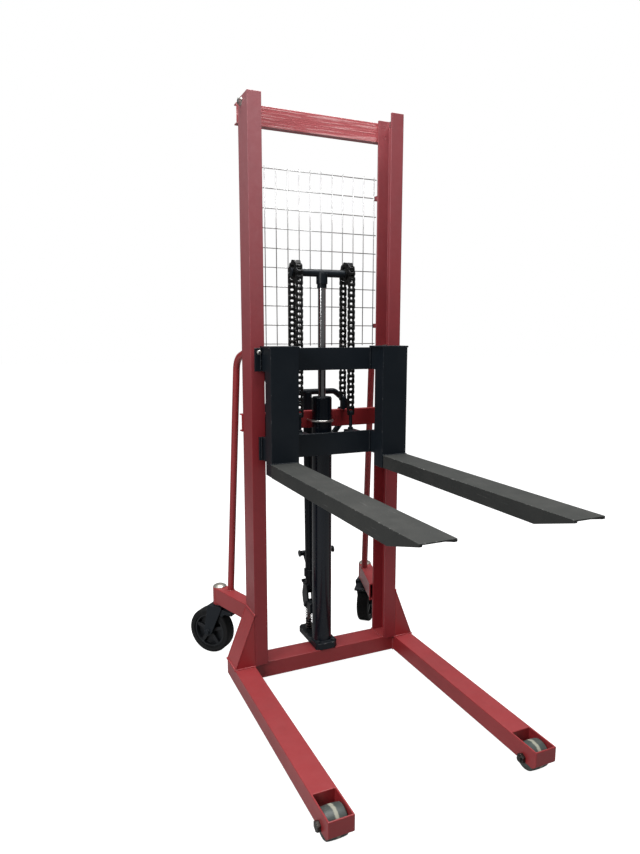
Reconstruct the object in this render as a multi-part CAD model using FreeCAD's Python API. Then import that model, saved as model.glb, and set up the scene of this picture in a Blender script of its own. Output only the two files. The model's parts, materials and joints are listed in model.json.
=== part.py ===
"""Walkie stacker: a manual fork stacker with a fixed mast, chain lift and hand pump.

Millimetres, +Z up, forks towards -Y. The pieces are drawn with the front face of the
mast at y = 0 and the floor at z = 0, and are moved on export so that the origin is at
the centre of the machine's footprint.
"""
import FreeCAD, Part
import math
import os

V = FreeCAD.Vector

# Driving dimensions: mast ------------------------------------------------------------
mast_top = 2019.0            # top of the uprights above the floor
mast_width = 572.0           # over the outside of the two uprights
channel_depth = 100.0        # front to rear of each upright
channel_flange = 48.0        # width of each upright's flanges
channel_web = 5.3
channel_flange_wall = 8.5
beam_depth = 28.0            # top beam and middle brace, front to rear
beam_wall = 4.5
beam_overhang = 4.0          # past the outside of the uprights, each side
top_beam_height = 66.0
top_beam_drop = 7.4          # from the top of the uprights to the top of the beam
brace_height = 62.0
brace_top = 981.0
frame_bolt_d = 10.0
frame_bolt_inset = 24.0      # from the outside of an upright to its beam bolts
stop_bolt_d = 12.0
stop_washer_d = 28.0
stop_drop = 17.0             # from the top of an upright to its stop bolt
stop_y = 66.0                # behind the mast's front face
washer_thickness = 2.0

# Driving dimensions: mesh guard ------------------------------------------------------
mesh_wire_d = 3.2
mesh_back = 18.0             # plane of the upright wires, behind the barrel
mesh_inset = 52.0            # sides of the guard inside the outside of the uprights
mesh_bottom = 1225.0
mesh_top = 1820.0
mesh_rows = 10
mesh_columns = 12
mesh_weld = 0.3              # how far crossing wires sink into each other

# Driving dimensions: legs and base ---------------------------------------------------
leg_width = 74.0
leg_height = 58.0
leg_ground_gap = 29.0
leg_wall = 4.0
leg_front = 781.0            # toe tip in front of the mast
leg_rear = 104.0             # rear end behind the mast's front face
toe_length = 105.0
toe_wall = 5.0
toe_chamfer = 13.0
toe_roller_d = 80.0
toe_roller_width = 60.0
toe_roller_setback = 53.0    # roller axis behind the toe tip
toe_axle_d = 16.0
crossbeam_front = 14.7
crossbeam_wall = 5.0
gusset_height = 191.0        # above the top of the legs
gusset_plate = 6.0

# Driving dimensions: caster arms and casters -----------------------------------------
arm_width = 50.0
arm_height = 63.0
arm_wall = 4.0
arm_top = 274.0
arm_root_inset = 33.0        # centreline where the arm meets the upright, inside its outside
arm_splay = 17.5             # degrees outwards
kingpin_setback = 225.0      # kingpin behind the rear of the mast
boss_d = 54.0
kingpin_d = 20.0
wheel_d = 180.0
wheel_width = 50.0
tyre_section = 22.0
wheel_round = 9.0
caster_trail = 40.0
caster_turn = 42.0           # degrees that each trailing wheel stands turned outwards
caster_plate = 5.0
caster_axle_d = 12.0
brake_pin_d = 8.0
handle_tube_d = 25.0

# Driving dimensions: cylinder and chain ----------------------------------------------
cylinder_y = 62.0            # cylinder axis behind the mast's front face
barrel_d = 72.0
barrel_bore = 60.0
barrel_top = 1032.0
rod_d = 28.0
rod_exposed = 384.0          # rod showing above the gland, forks as drawn
piston_length = 50.0
rod_inside = 505.0           # rod and piston inside the barrel, forks as drawn
gland_lip = 4.0
gland_depth = 32.0
hub_d = 34.0
hub_height = 51.0            # underside of the hub to the crossbar's axis
crossbar_d = 26.0
journal_d = 20.0
chain_pitch = 19.05
chain_roller_d = 11.91
chain_inner_width = 12.57
chain_plate = 2.4
chain_plate_height = 17.6
chain_pin_d = 5.94
eye_r = 9.0                  # eyes that the chains' last pins pass through
sprocket_teeth = 11
sprocket_x = 100.0           # each chain's distance from the middle
front_pitches = 26           # pitches from the sprocket down to the carriage
rear_pitches = 23            # pitches from the sprocket down to the middle brace
base_block_height = 25.0
clamp_wire_d = 7.0           # round-wire clamp that ties the barrel to the middle brace

# Driving dimensions: carriage and forks ----------------------------------------------
fork_top = 835.6
fork_reach = 991.0           # fork tips in front of the mast
fork_outer = 256.0
fork_width = 95.0
fork_depth = 44.6
fork_wall = 8.0
fork_taper = 131.0
fork_lip = 7.6
bar_plate = 10.0
bar_gap = 10.0               # carriage bars in front of the uprights
upper_bar_inset = 8.0        # bar ends inside the outside of the uprights
upper_bar_height = 77.4
lower_bar_inset = 19.5
lower_bar_height = 79.4
carriage_height = 377.4      # fork top to the top of the carriage
shank_outer = 254.0
shank_width = 97.0
shank_front = 106.0          # in front of the mast
shank_depth = 57.0
shank_wall = 6.0
cap_plate = 6.0
cap_lip = 4.0
roller_width = 30.0
roller_clearance = 0.5       # between a mast roller and the channel's flanges
roller_pin_d = 24.0
roller_plate = 10.0
anchor_stud_d = 12.0         # studs that the front chains pull on
anchor_plate = 10.0
lower_roller_z = 900.0
upper_roller_z = 1180.0

# Driving dimensions: pump and tiller -------------------------------------------------
pump_x = -12.0
plunger_back = 62.0          # plunger's axis behind the barrel
plunger_d = 14.0
pump_barrel_d = 18.8
pump_barrel_top = 150.0
spring_top = 207.0
spring_od = 26.0
spring_wire = 3.0
spring_turns = 9
pivot_back = 30.0            # tiller pivot behind the barrel
pivot_z = 226.0
pivot_pin_d = 16.0
cheek_gap = 30.0
cheek_plate = 6.0
lug_plate = 6.0
stem_d = 34.0
stem_top_z = 1045.0
stem_foot_z = 300.0
stem_foot_back = 50.0        # stem's foot and top behind the barrel
stem_top_back = 71.0
loop_tube_d = 22.0
release_crank = 14.0         # hand lever's pivot to the pull rod
valve_crank = 20.0           # valve lever's pivot to the pull rod
pull_rod_offset = 14.0       # pull rod beside the middle of the stem
hinge_pin_d = 6.0
link_pin_d = 6.0

# Fits and clearances -----------------------------------------------------------------
barrel_gap = 1.0             # between the barrel and the middle brace
running_fit = 0.05           # radial, pins and shafts that turn or slide
bolt_fit = 0.3               # radial, bolts in their holes
link_play = 0.9              # radial, pins in the pull rod's eyes
seat_play = 0.45             # radial, chain rollers in the sprockets' tooth gaps
side_play = 1.0              # between rollers, hubs and the plates beside them

# Derived places ----------------------------------------------------------------------
mast_half = mast_width / 2.0
mesh_half = mast_half - mesh_inset
arm_root_x = mast_half - arm_root_inset
upper_bar_half = mast_half - upper_bar_inset
lower_bar_half = mast_half - lower_bar_inset
leg_top = leg_ground_gap + leg_height
leg_outer = mast_half + leg_width
rod_top = barrel_top + gland_lip + rod_exposed
axis_z = rod_top + hub_height
pitch_r = chain_pitch / (2.0 * math.sin(math.pi / sprocket_teeth))
front_strand_y = cylinder_y - pitch_r
barrel_back = cylinder_y + barrel_d / 2.0
mesh_y = barrel_back + mesh_back
plunger_y = barrel_back + plunger_back
pivot_y = barrel_back + pivot_back
stem_foot_y = barrel_back + stem_foot_back
stem_top_y = barrel_back + stem_top_back
rear_strand_y = cylinder_y + pitch_r
bar_rear = -bar_gap
bar_front = bar_rear - bar_plate
fork_bottom = fork_top - fork_depth
carriage_top = fork_top + carriage_height
boss_x = arm_root_x + kingpin_setback * math.tan(math.radians(arm_splay))
boss_y = channel_depth + kingpin_setback
arm_bottom = arm_top - arm_height
wheel_r = wheel_d / 2.0
rear_reach = boss_y + (caster_trail + wheel_r - wheel_round) * math.cos(math.radians(caster_turn))
rear_reach += (wheel_width / 2.0 - wheel_round) * math.sin(math.radians(caster_turn)) + wheel_round
origin_shift = V(0, (fork_reach - rear_reach) / 2.0, 0)


# Helpers -----------------------------------------------------------------------------
def box(x0, x1, y0, y1, z0, z1):
    """Block between two corners, given in any order."""
    low = V(min(x0, x1), min(y0, y1), min(z0, z1))
    return Part.makeBox(abs(x1 - x0), abs(y1 - y0), abs(z1 - z0), low)


def rod(start, end, diameter):
    """Round bar between two points."""
    direction = end - start
    return Part.makeCylinder(diameter / 2.0, direction.Length, start, direction)


def ring(start, end, outer_d, inner_d):
    """Round tube between two points."""
    direction = end - start
    inner = Part.makeCylinder(inner_d / 2.0, direction.Length + 2.0, start - direction.normalize(), direction)
    return rod(start, end, outer_d).cut(inner)


def prism_x(points, x0, x1):
    """Outline of (y, z) points carried from x0 to x1."""
    wire = Part.makePolygon([V(x0, y, z) for y, z in points + points[:1]])
    return Part.Face(wire).extrude(V(x1 - x0, 0, 0))


def prism_y(points, y0, y1):
    """Outline of (x, z) points carried from y0 to y1."""
    wire = Part.makePolygon([V(x, y0, z) for x, z in points + points[:1]])
    return Part.Face(wire).extrude(V(0, y1 - y0, 0))


def prism_z(points, z0, z1):
    """Outline of (x, y) points carried from z0 to z1."""
    wire = Part.makePolygon([V(x, y, z0) for x, y in points + points[:1]])
    return Part.Face(wire).extrude(V(0, 0, z1 - z0))


def hexagon_head(start, direction, bolt_d):
    """Hexagon bolt head or nut that stands on start and points along direction."""
    across = 1.6 * bolt_d / math.cos(math.pi / 6.0) / 2.0
    corners = [V(across * math.cos(math.radians(60 * k)), across * math.sin(math.radians(60 * k)), 0)
               for k in range(7)]
    head = Part.Face(Part.makePolygon(corners)).extrude(V(0, 0, 0.65 * bolt_d))
    head.Placement = FreeCAD.Placement(start, FreeCAD.Rotation(V(0, 0, 1), direction))
    return head


def bolt(start, direction, grip, bolt_d):
    """Hexagon bolt and nut on a grip length, its head standing on start against direction."""
    along = V(direction).normalize()
    shank = rod(start, start + along * (grip + bolt_d), bolt_d)
    head = hexagon_head(start, along * -1.0, bolt_d)
    nut = hexagon_head(start + along * grip, along, bolt_d)
    return shank.fuse([head, nut])


def screw(seat, out, grip, bolt_d):
    """Hexagon screw whose head stands on a seat and points out, its shank reaching back through the grip."""
    out = V(out).normalize()
    return rod(seat - out * grip, seat, bolt_d).fuse(hexagon_head(seat, out, bolt_d))


def bent_tube(points, radius, diameter):
    """Round bar along straight runs with arcs of one radius at the corners."""
    edges = []
    start = points[0]
    for corner, after in zip(points[1:-1], points[2:]):
        into = (corner - start).normalize()
        out = (after - corner).normalize()
        half_turn = into.getAngle(out) / 2.0
        back = radius * math.tan(half_turn)
        first = corner - into * back
        last = corner + out * back
        bisector = (out - into).normalize()
        centre = corner + bisector * (radius / math.cos(half_turn))
        middle = centre - bisector * radius
        edges.append(Part.makeLine(start, first))
        edges.append(Part.Arc(first, middle, last).toShape())
        start = last
    edges.append(Part.makeLine(start, points[-1]))
    path = Part.Wire(edges)
    profile = Part.Wire(Part.makeCircle(diameter / 2.0, points[0], points[1] - points[0]))
    return path.makePipeShell([profile], True, True)


def mirrored(shape):
    """The same piece on the other side of the machine."""
    return shape.mirror(V(0, 0, 0), V(1, 0, 0))


def save(name, shape):
    """Write one node, moved to the machine's own origin."""
    moved = shape.copy()
    moved.translate(origin_shift)
    moved.exportStep("parts/%s.step" % name)


def save_pair(name, shape):
    """Write the +X piece as the right one and its mirror image as the left one."""
    save(name + "_right", shape)
    save(name + "_left", mirrored(shape))


def group(shapes):
    """Separate solids that share one node."""
    return Part.makeCompound(shapes)


# Mast --------------------------------------------------------------------------------
def beam_bolt_points():
    """Where the bolts of the top beam and the middle brace stand, as (x, z)."""
    top_middle = mast_top - top_beam_drop - top_beam_height / 2.0
    brace_middle = brace_top - brace_height / 2.0
    x = mast_half - frame_bolt_inset
    spread = 16.0
    return [(side * x, middle + step) for side in (-1, 1)
            for middle in (top_middle, brace_middle) for step in (-spread, spread)]


def upright():
    """Channel-section upright on the +X side, open towards the other one."""
    outer = box(mast_half - channel_flange, mast_half, 0, channel_depth, leg_top, mast_top)
    inner = box(mast_half - channel_flange - 1, mast_half - channel_web, channel_flange_wall,
                channel_depth - channel_flange_wall, leg_top - 1, mast_top + 1)
    holes = [rod(V(x, channel_depth - channel_flange_wall - 2, z), V(x, channel_depth + 2, z),
                 frame_bolt_d + 2 * bolt_fit) for x, z in beam_bolt_points() if x > 0]
    stop_z = mast_top - stop_drop
    holes.append(rod(V(mast_half - channel_web - 1, stop_y, stop_z), V(mast_half + 1, stop_y, stop_z),
                     stop_bolt_d + 2 * bolt_fit))
    return outer.cut(inner).cut(holes)


def channel_beam(top, height):
    """Channel across the back of the uprights, open to the rear."""
    half = mast_half + beam_overhang
    front = channel_depth
    outer = box(-half, half, front, front + beam_depth, top - height, top)
    inner = box(-half - 1, half + 1, front + beam_wall, front + beam_depth + 1,
                top - height + beam_wall, top - beam_wall)
    holes = [rod(V(x, front - 1, z), V(x, front + beam_wall + 1, z), frame_bolt_d + 2 * bolt_fit)
             for x, z in beam_bolt_points() if top - height < z < top]
    return outer.cut(inner).cut(holes)


def middle_brace():
    """Brace with the two holes of the cylinder clamp, cut away where the barrel reaches it."""
    holes = [rod(V(x, channel_depth - 1, clamp_z()), V(x, channel_depth + beam_wall + 1, clamp_z()),
                 clamp_wire_d + 2 * bolt_fit) for x in (-clamp_half(), clamp_half())]
    barrel = rod(V(0, cylinder_y, brace_top - brace_height - 1), V(0, cylinder_y, brace_top + 1),
                 barrel_d + 2 * barrel_gap)
    return channel_beam(brace_top, brace_height).cut(holes + [barrel])


def stop_bolt():
    """Bolt through the +X upright's web that stops the upper mast roller, with a washer under its head."""
    z = mast_top - stop_drop
    head_seat = V(mast_half + washer_thickness, stop_y, z)
    washer = rod(V(mast_half, stop_y, z), head_seat, stop_washer_d)
    return bolt(head_seat, V(-1, 0, 0), channel_web + washer_thickness, stop_bolt_d).fuse(washer)


def frame_bolts():
    """Screws of the beams and of the cylinder's base block, and the two stop bolts."""
    rear = channel_depth + beam_wall
    grip = channel_flange_wall + beam_wall
    bolts = [screw(V(x, rear, z), V(0, 1, 0), grip, frame_bolt_d) for x, z in beam_bolt_points()]
    top = leg_top + base_block_height
    for x, y in base_bolt_points():
        bolts.append(screw(V(x, y, top), V(0, 0, 1), base_block_height + crossbeam_wall, frame_bolt_d))
    return group(bolts + [stop_bolt(), mirrored(stop_bolt())])


# Mesh guard --------------------------------------------------------------------------
def mesh_row_y():
    """Plane of the cross wires, welded behind the upright wires."""
    return mesh_y + mesh_wire_d - mesh_weld


def mesh_guard():
    """Welded wire mesh behind the lift chains."""
    wires = []
    for k in range(mesh_columns):
        x = -mesh_half + 2.0 * mesh_half * k / (mesh_columns - 1)
        wires.append(rod(V(x, mesh_y, mesh_bottom - 8), V(x, mesh_y, mesh_top + 8), mesh_wire_d))
    for k in range(mesh_rows):
        z = mesh_bottom + (mesh_top - mesh_bottom) * k / (mesh_rows - 1)
        reach = mesh_half + 12.0
        wires.append(rod(V(-reach, mesh_row_y(), z), V(reach, mesh_row_y(), z), mesh_wire_d))
    return wires[0].fuse(wires[1:])


def mesh_clips():
    """Four clips that hold the ends of two cross wires to the uprights."""
    clips = []
    for row in (1, mesh_rows - 2):
        z = mesh_bottom + (mesh_top - mesh_bottom) * row / (mesh_rows - 1)
        block = box(mesh_half + 6, mesh_half + 26, channel_depth, mesh_row_y() + 6, z - 8, z + 8)
        seat = rod(V(0, mesh_row_y(), z), V(mesh_half + 12 + bolt_fit, mesh_row_y(), z),
                   mesh_wire_d + 2 * running_fit)
        screw = hexagon_head(V(mesh_half + 19, mesh_row_y() + 6, z), V(0, 1, 0), 6.0)
        clip = block.cut(seat).fuse(screw)
        clips += [clip, mirrored(clip)]
    return group(clips)


# Legs and base -----------------------------------------------------------------------
def toe_axis():
    """A point on the +X toe roller's axis, in the middle of the leg."""
    return V(mast_half + leg_width / 2.0, -leg_front + toe_roller_setback, toe_roller_d / 2.0)


def leg():
    """Box-section leg on the +X side with its open toe box."""
    step = -leg_front + toe_length
    tube = box(mast_half, leg_outer, step, leg_rear, leg_ground_gap, leg_top)
    hollow = box(mast_half + leg_wall, leg_outer - leg_wall, step + toe_wall, leg_rear - leg_wall,
                 leg_ground_gap + leg_wall, leg_top - leg_wall)
    drain = rod(V(mast_half + leg_width / 2.0, leg_rear - 40, leg_ground_gap - 1),
                V(mast_half + leg_width / 2.0, leg_rear - 40, leg_ground_gap + leg_wall + 1), 12.0)
    outline = [(step, leg_ground_gap), (-leg_front + toe_chamfer, leg_ground_gap),
               (-leg_front, leg_ground_gap + toe_chamfer), (-leg_front, leg_top), (step, leg_top)]
    toe = prism_x(outline, mast_half, leg_outer)
    well = box(mast_half + toe_wall, leg_outer - toe_wall, -leg_front + toe_wall, step,
               leg_ground_gap - 1, leg_top + 1)
    axis = toe_axis()
    bore = rod(V(mast_half - 1, axis.y, axis.z), V(leg_outer + 1, axis.y, axis.z),
               toe_axle_d + 2 * bolt_fit)
    return tube.cut(hollow).cut(drain).fuse(toe.cut(well)).cut(bore).removeSplitter()


def toe_axles():
    """Axle bolts through both toes."""
    axis = toe_axis()
    axle = bolt(V(leg_outer, axis.y, axis.z), V(-1, 0, 0), leg_width, toe_axle_d)
    return group([axle, mirrored(axle)])


def toe_roller():
    """Crowned load roller on the +X axle."""
    axis = toe_axis()
    half = toe_roller_width / 2.0
    radius = toe_roller_d / 2.0
    crown = 1.5
    bore = toe_axle_d / 2.0 + running_fit
    outline = [V(-half, 0, bore), V(-half, 0, radius - 4.0), V(-half + 3.0, 0, radius - crown)]
    top = V(0, 0, radius)
    right = V(half - 3.0, 0, radius - crown)
    edges = [Part.makeLine(outline[0], outline[1]), Part.makeLine(outline[1], outline[2])]
    edges.append(Part.Arc(outline[2], top, right).toShape())
    edges.append(Part.makeLine(right, V(half, 0, radius - 4.0)))
    edges.append(Part.makeLine(V(half, 0, radius - 4.0), V(half, 0, bore)))
    edges.append(Part.makeLine(V(half, 0, bore), outline[0]))
    roller = Part.Face(Part.Wire(edges)).revolve(V(0, 0, 0), V(1, 0, 0), 360)
    roller.translate(axis)
    return roller


def lower_crossbeam():
    """Box-section beam between the legs, under the uprights."""
    rear = channel_depth + 1.0
    outer = box(-mast_half, mast_half, crossbeam_front, rear, leg_ground_gap, leg_top)
    inner = box(-mast_half - 1, mast_half + 1, crossbeam_front + crossbeam_wall, rear - crossbeam_wall,
                leg_ground_gap + crossbeam_wall, leg_top - crossbeam_wall)
    holes = [rod(V(x, y, leg_top - crossbeam_wall - 1), V(x, y, leg_top + 1), frame_bolt_d + 2 * bolt_fit)
             for x, y in base_bolt_points()]
    return outer.cut(inner).cut(holes)


def gussets():
    """Flared box gussets between the uprights and the legs."""
    t = gusset_plate
    top = leg_top + gusset_height
    outline = [(mast_half, leg_top), (leg_outer, leg_top), (mast_half, top)]
    slope = math.hypot(leg_width, gusset_height)
    inset = t * slope / gusset_height
    drop = t * slope / leg_width
    hollow = [(mast_half - 1, leg_top - 1), (leg_outer - inset, leg_top - 1),
              (leg_outer - inset, leg_top), (mast_half, top - drop), (mast_half - 1, top - drop)]
    shell = prism_y(outline, 0, channel_depth).cut(prism_y(hollow, t, channel_depth - t))
    return group([shell, mirrored(shell)])


# Caster arms and push handles --------------------------------------------------------
def boss_bottom():
    """Underside of the kingpin boss."""
    return arm_bottom - 6.0


def caster_arm():
    """Arm from the +X upright out to the kingpin boss."""
    length = kingpin_setback / math.cos(math.radians(arm_splay))
    root = 40.0
    tube = box(-arm_width / 2.0, arm_width / 2.0, -root, length, arm_bottom, arm_top)
    hollow = box(-arm_width / 2.0 + arm_wall, arm_width / 2.0 - arm_wall, -root - 1, length - boss_d / 2.0,
                 arm_bottom + arm_wall, arm_top - arm_wall)
    arm = tube.cut(hollow)
    arm.rotate(V(0, 0, 0), V(0, 0, 1), -arm_splay)
    arm.translate(V(arm_root_x, channel_depth, 0))
    arm = arm.cut(box(0, 2 * mast_half, channel_depth - 2 * root, channel_depth, 0, mast_top))
    boss = rod(V(boss_x, boss_y, boss_bottom()), V(boss_x, boss_y, arm_top), boss_d)
    bore = rod(V(boss_x, boss_y, boss_bottom() - 1), V(boss_x, boss_y, arm_top + 1),
               kingpin_d + 2 * running_fit)
    return arm.fuse(boss).cut(bore).removeSplitter()


def kingpin_caps():
    """Domed caps over the kingpin bosses."""
    cap_d = boss_d - 3.0
    height = 9.0
    sphere_r = ((cap_d / 2.0) ** 2 + height ** 2) / (2.0 * height)
    rim = 3.0
    dome = Part.makeSphere(sphere_r, V(boss_x, boss_y, arm_top + rim + height - sphere_r))
    keep = rod(V(boss_x, boss_y, arm_top + rim), V(boss_x, boss_y, arm_top + rim + height), cap_d)
    cap = dome.common(keep).fuse(rod(V(boss_x, boss_y, arm_top), V(boss_x, boss_y, arm_top + rim), cap_d))
    return group([cap, mirrored(cap)])


def push_handles():
    """Bent tubes from the caster arms up to the backs of the uprights."""
    foot_y = channel_depth + 175.0
    foot_x = arm_root_x + (foot_y - channel_depth) * math.tan(math.radians(arm_splay)) - 14.0
    foot = V(foot_x, foot_y, arm_top - 20.0)
    knee = V(mast_half - 10.0, channel_depth + 96.0, 1172.0)
    end = V(mast_half - 21.0, channel_depth - 20.0, 1206.0)
    tube = bent_tube([foot, knee, end], 55.0, handle_tube_d)
    tube = tube.cut(box(0, 2 * mast_half, 0, channel_depth, arm_top, mast_top))
    tube = tube.cut(box(0, 2 * mast_half, 0, 2 * boss_y, 0, arm_top))
    return group([tube, mirrored(tube)])


# Casters, drawn along +Y about their kingpin and then turned -------------------------
def place_caster(shape):
    """Turn a caster piece to its standing direction and move it to the +X kingpin."""
    placed = shape.copy()
    placed.rotate(V(0, 0, 0), V(0, 0, 1), -caster_turn)
    placed.translate(V(boss_x, boss_y, 0))
    return placed


def caster_fork():
    """Kingpin, top plate and two side plates with the wheel axle."""
    inner = wheel_width / 2.0 + 5.0
    outer = inner + caster_plate
    plate_top = boss_bottom() - 4.0
    plate_z = plate_top - 8.0
    outline = [(-26.0, plate_z), (38.0, plate_z), (caster_trail + 17.0, wheel_r + 4.0),
               (caster_trail + 8.0, wheel_r - 16.0), (caster_trail - 10.0, wheel_r - 15.0),
               (caster_trail - 20.0, wheel_r)]
    cheeks = [prism_x(outline, inner, outer), prism_x(outline, -outer, -inner)]
    top = box(-outer, outer, -26.0, 38.0, plate_z, plate_top)
    race = rod(V(0, 0, plate_top), V(0, 0, boss_bottom() - side_play / 2.0), boss_d - 4.0)
    pin = rod(V(0, 0, plate_top), V(0, 0, arm_top - 4.0), kingpin_d)
    axle = rod(V(-outer - 6.0, caster_trail, wheel_r), V(outer + 6.0, caster_trail, wheel_r), caster_axle_d)
    nuts = [hexagon_head(V(side * outer, caster_trail, wheel_r), V(side, 0, 0), caster_axle_d)
            for side in (-1, 1)]
    brake = brake_axis()
    brake_pin = rod(brake - V(outer, 0, 0), brake + V(outer, 0, 0), brake_pin_d)
    return place_caster(top.fuse(cheeks + [race, pin, axle, brake_pin] + nuts).removeSplitter())


def wheel_hub():
    """Spoked wheel centre that turns on the caster's axle."""
    half = wheel_width / 2.0
    rim_r = wheel_r - tyre_section
    a = V(-1, 0, 0)
    centre = V(0, caster_trail, wheel_r)
    rim = ring(centre + a * (half - 4.0), centre - a * (half - 4.0), 2.0 * rim_r, 2.0 * rim_r - 16.0)
    hub = rod(centre + a * (half + 2.0), centre - a * (half + 2.0), 38.0)
    web = rod(centre + a * 3.0, centre - a * 3.0, 2.0 * rim_r - 10.0)
    spokes = []
    for k in range(5):
        spoke = box(-(half - 8.0), half - 8.0, caster_trail - 7.0, caster_trail + 7.0,
                    wheel_r + 10.0, wheel_r + rim_r - 4.0)
        spoke.rotate(centre, V(1, 0, 0), 72.0 * k)
        spokes.append(spoke)
    bore = rod(centre + a * (half + 5.0), centre - a * (half + 5.0), caster_axle_d + 2 * running_fit)
    return place_caster(rim.fuse([hub, web] + spokes).cut(bore).removeSplitter())


def wheel_tyre():
    """Rubber tyre with rounded shoulders."""
    half = wheel_width / 2.0
    centre = V(0, caster_trail, wheel_r)
    tyre = ring(centre - V(half, 0, 0), centre + V(half, 0, 0), wheel_d, wheel_d - 2.0 * tyre_section)
    shoulders = [edge for edge in tyre.Edges
                 if edge.Curve.TypeId == "Part::GeomCircle" and abs(edge.Curve.Radius - wheel_r) < 0.01]
    return place_caster(tyre.makeFillet(wheel_round, shoulders))


def brake_axis():
    """Pivot of the brake pedal, in front of the wheel's top, before the caster is placed."""
    return V(0, -15.0, boss_bottom() - 22.0)


def brake_pedal():
    """Pedal in the front of the caster fork, with the pad that presses on the tyre."""
    pivot = brake_axis()
    half = wheel_width / 2.0 + 5.0 - side_play
    offsets = [(5, -8), (5, 8), (-8, 8), (-52, -1), (-56, -7), (-54, -13), (-18, -11), (-12, -22),
               (-4, -22)]
    outline = [(pivot.y + dy, pivot.z + dz) for dy, dz in offsets]
    bore = rod(pivot - V(half + 1, 0, 0), pivot + V(half + 1, 0, 0), brake_pin_d + 2 * running_fit)
    return place_caster(prism_x(outline, -half, half).cut(bore))


# Cylinder, ram and crosshead ---------------------------------------------------------
def clamp_z():
    """Height of the clamp round the barrel."""
    return brace_top - brace_height / 2.0


def clamp_half():
    """Half the distance between the clamp's two legs."""
    return barrel_d / 2.0 + clamp_wire_d / 2.0 + running_fit


def cylinder_barrel():
    """Lift cylinder's tube, closed at its foot."""
    foot = leg_top + base_block_height
    floor = 25.0
    tube = rod(V(0, cylinder_y, foot), V(0, cylinder_y, barrel_top), barrel_d)
    bore = rod(V(0, cylinder_y, foot + floor), V(0, cylinder_y, barrel_top + 1), barrel_bore)
    return tube.cut(bore)


def gland_nut():
    """Guide and seal carrier in the mouth of the barrel."""
    lip = rod(V(0, cylinder_y, barrel_top), V(0, cylinder_y, barrel_top + gland_lip), barrel_d - 4.0)
    spigot = rod(V(0, cylinder_y, barrel_top - gland_depth), V(0, cylinder_y, barrel_top),
                 barrel_bore - 2 * running_fit)
    bore = rod(V(0, cylinder_y, barrel_top - gland_depth - 1), V(0, cylinder_y, barrel_top + gland_lip + 1),
               rod_d + 2 * running_fit)
    return lip.fuse(spigot).cut(bore).removeSplitter()


def ram_rod():
    """Plated rod with its piston."""
    low = barrel_top - rod_inside
    piston = rod(V(0, cylinder_y, low), V(0, cylinder_y, low + piston_length), barrel_bore - 2 * running_fit)
    return piston.fuse(rod(V(0, cylinder_y, low + piston_length), V(0, cylinder_y, rod_top), rod_d))


def sprocket_half():
    """Half the length of a sprocket's hub along its journal."""
    return chain_inner_width / 2.0 + chain_plate + 4.0


def crosshead():
    """Hub on the rod with the crossbar and its two sprocket journals."""
    hub = rod(V(0, cylinder_y, rod_top), V(0, cylinder_y, axis_z), hub_d)
    collar = rod(V(0, cylinder_y, rod_top + 14.0), V(0, cylinder_y, axis_z), hub_d + 6.0)
    shoulder = sprocket_x - sprocket_half() - side_play / 2.0
    end = sprocket_x + sprocket_half() + 6.0
    bar = rod(V(-shoulder, cylinder_y, axis_z), V(shoulder, cylinder_y, axis_z), crossbar_d)
    journals = rod(V(-end, cylinder_y, axis_z), V(end, cylinder_y, axis_z), journal_d)
    caps = [rod(V(side * (end - 5.0), cylinder_y, axis_z), V(side * end, cylinder_y, axis_z), journal_d + 10.0)
            for side in (-1, 1)]
    return hub.fuse([collar, bar, journals] + caps).removeSplitter()


def sprocket():
    """Toothed chain wheel on the +X journal, with a tooth gap at the front."""
    tip_r = chain_pitch * (0.6 + 1.0 / math.tan(math.pi / sprocket_teeth)) / 2.0
    seat_r = chain_roller_d / 2.0 + seat_play
    mouth = seat_r + 6.0
    half = chain_inner_width / 2.0 - 0.75
    blank = rod(V(-half, 0, 0), V(half, 0, 0), 2.0 * tip_r)
    gaps = []
    for k in range(sprocket_teeth):
        gap = rod(V(-half - 1, -pitch_r, 0), V(half + 1, -pitch_r, 0), 2.0 * seat_r)
        flare = prism_x([(-pitch_r, -seat_r), (-tip_r - 3.0, -mouth), (-tip_r - 3.0, mouth),
                         (-pitch_r, seat_r)], -half - 1, half + 1)
        gap = gap.fuse(flare)
        gap.rotate(V(0, 0, 0), V(1, 0, 0), 360.0 * k / sprocket_teeth)
        gaps.append(gap)
    hub = rod(V(-sprocket_half(), 0, 0), V(sprocket_half(), 0, 0), journal_d + 18.0)
    bore = rod(V(-sprocket_half() - 1, 0, 0), V(sprocket_half() + 1, 0, 0), journal_d + 2 * running_fit)
    wheel = blank.cut(gaps).fuse(hub).cut(bore)
    wheel.translate(V(sprocket_x, cylinder_y, axis_z))
    return wheel


def barrel_clamp():
    """Round-wire clamp that ties the barrel to the middle brace."""
    r = clamp_half()
    end = channel_depth + beam_wall + 14.0
    left = Part.makeLine(V(-r, end, clamp_z()), V(-r, cylinder_y, clamp_z()))
    arc = Part.Arc(V(-r, cylinder_y, clamp_z()), V(0, cylinder_y - r, clamp_z()), V(r, cylinder_y, clamp_z()))
    right = Part.makeLine(V(r, cylinder_y, clamp_z()), V(r, end, clamp_z()))
    path = Part.Wire([left, arc.toShape(), right])
    profile = Part.Wire(Part.makeCircle(clamp_wire_d / 2.0, V(-r, end, clamp_z()), V(0, -1, 0)))
    wire = path.makePipeShell([profile], True, True)
    nuts = [hexagon_head(V(x, channel_depth + beam_wall, clamp_z()), V(0, 1, 0), clamp_wire_d)
            for x in (-r, r)]
    return wire.fuse(nuts)


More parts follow.
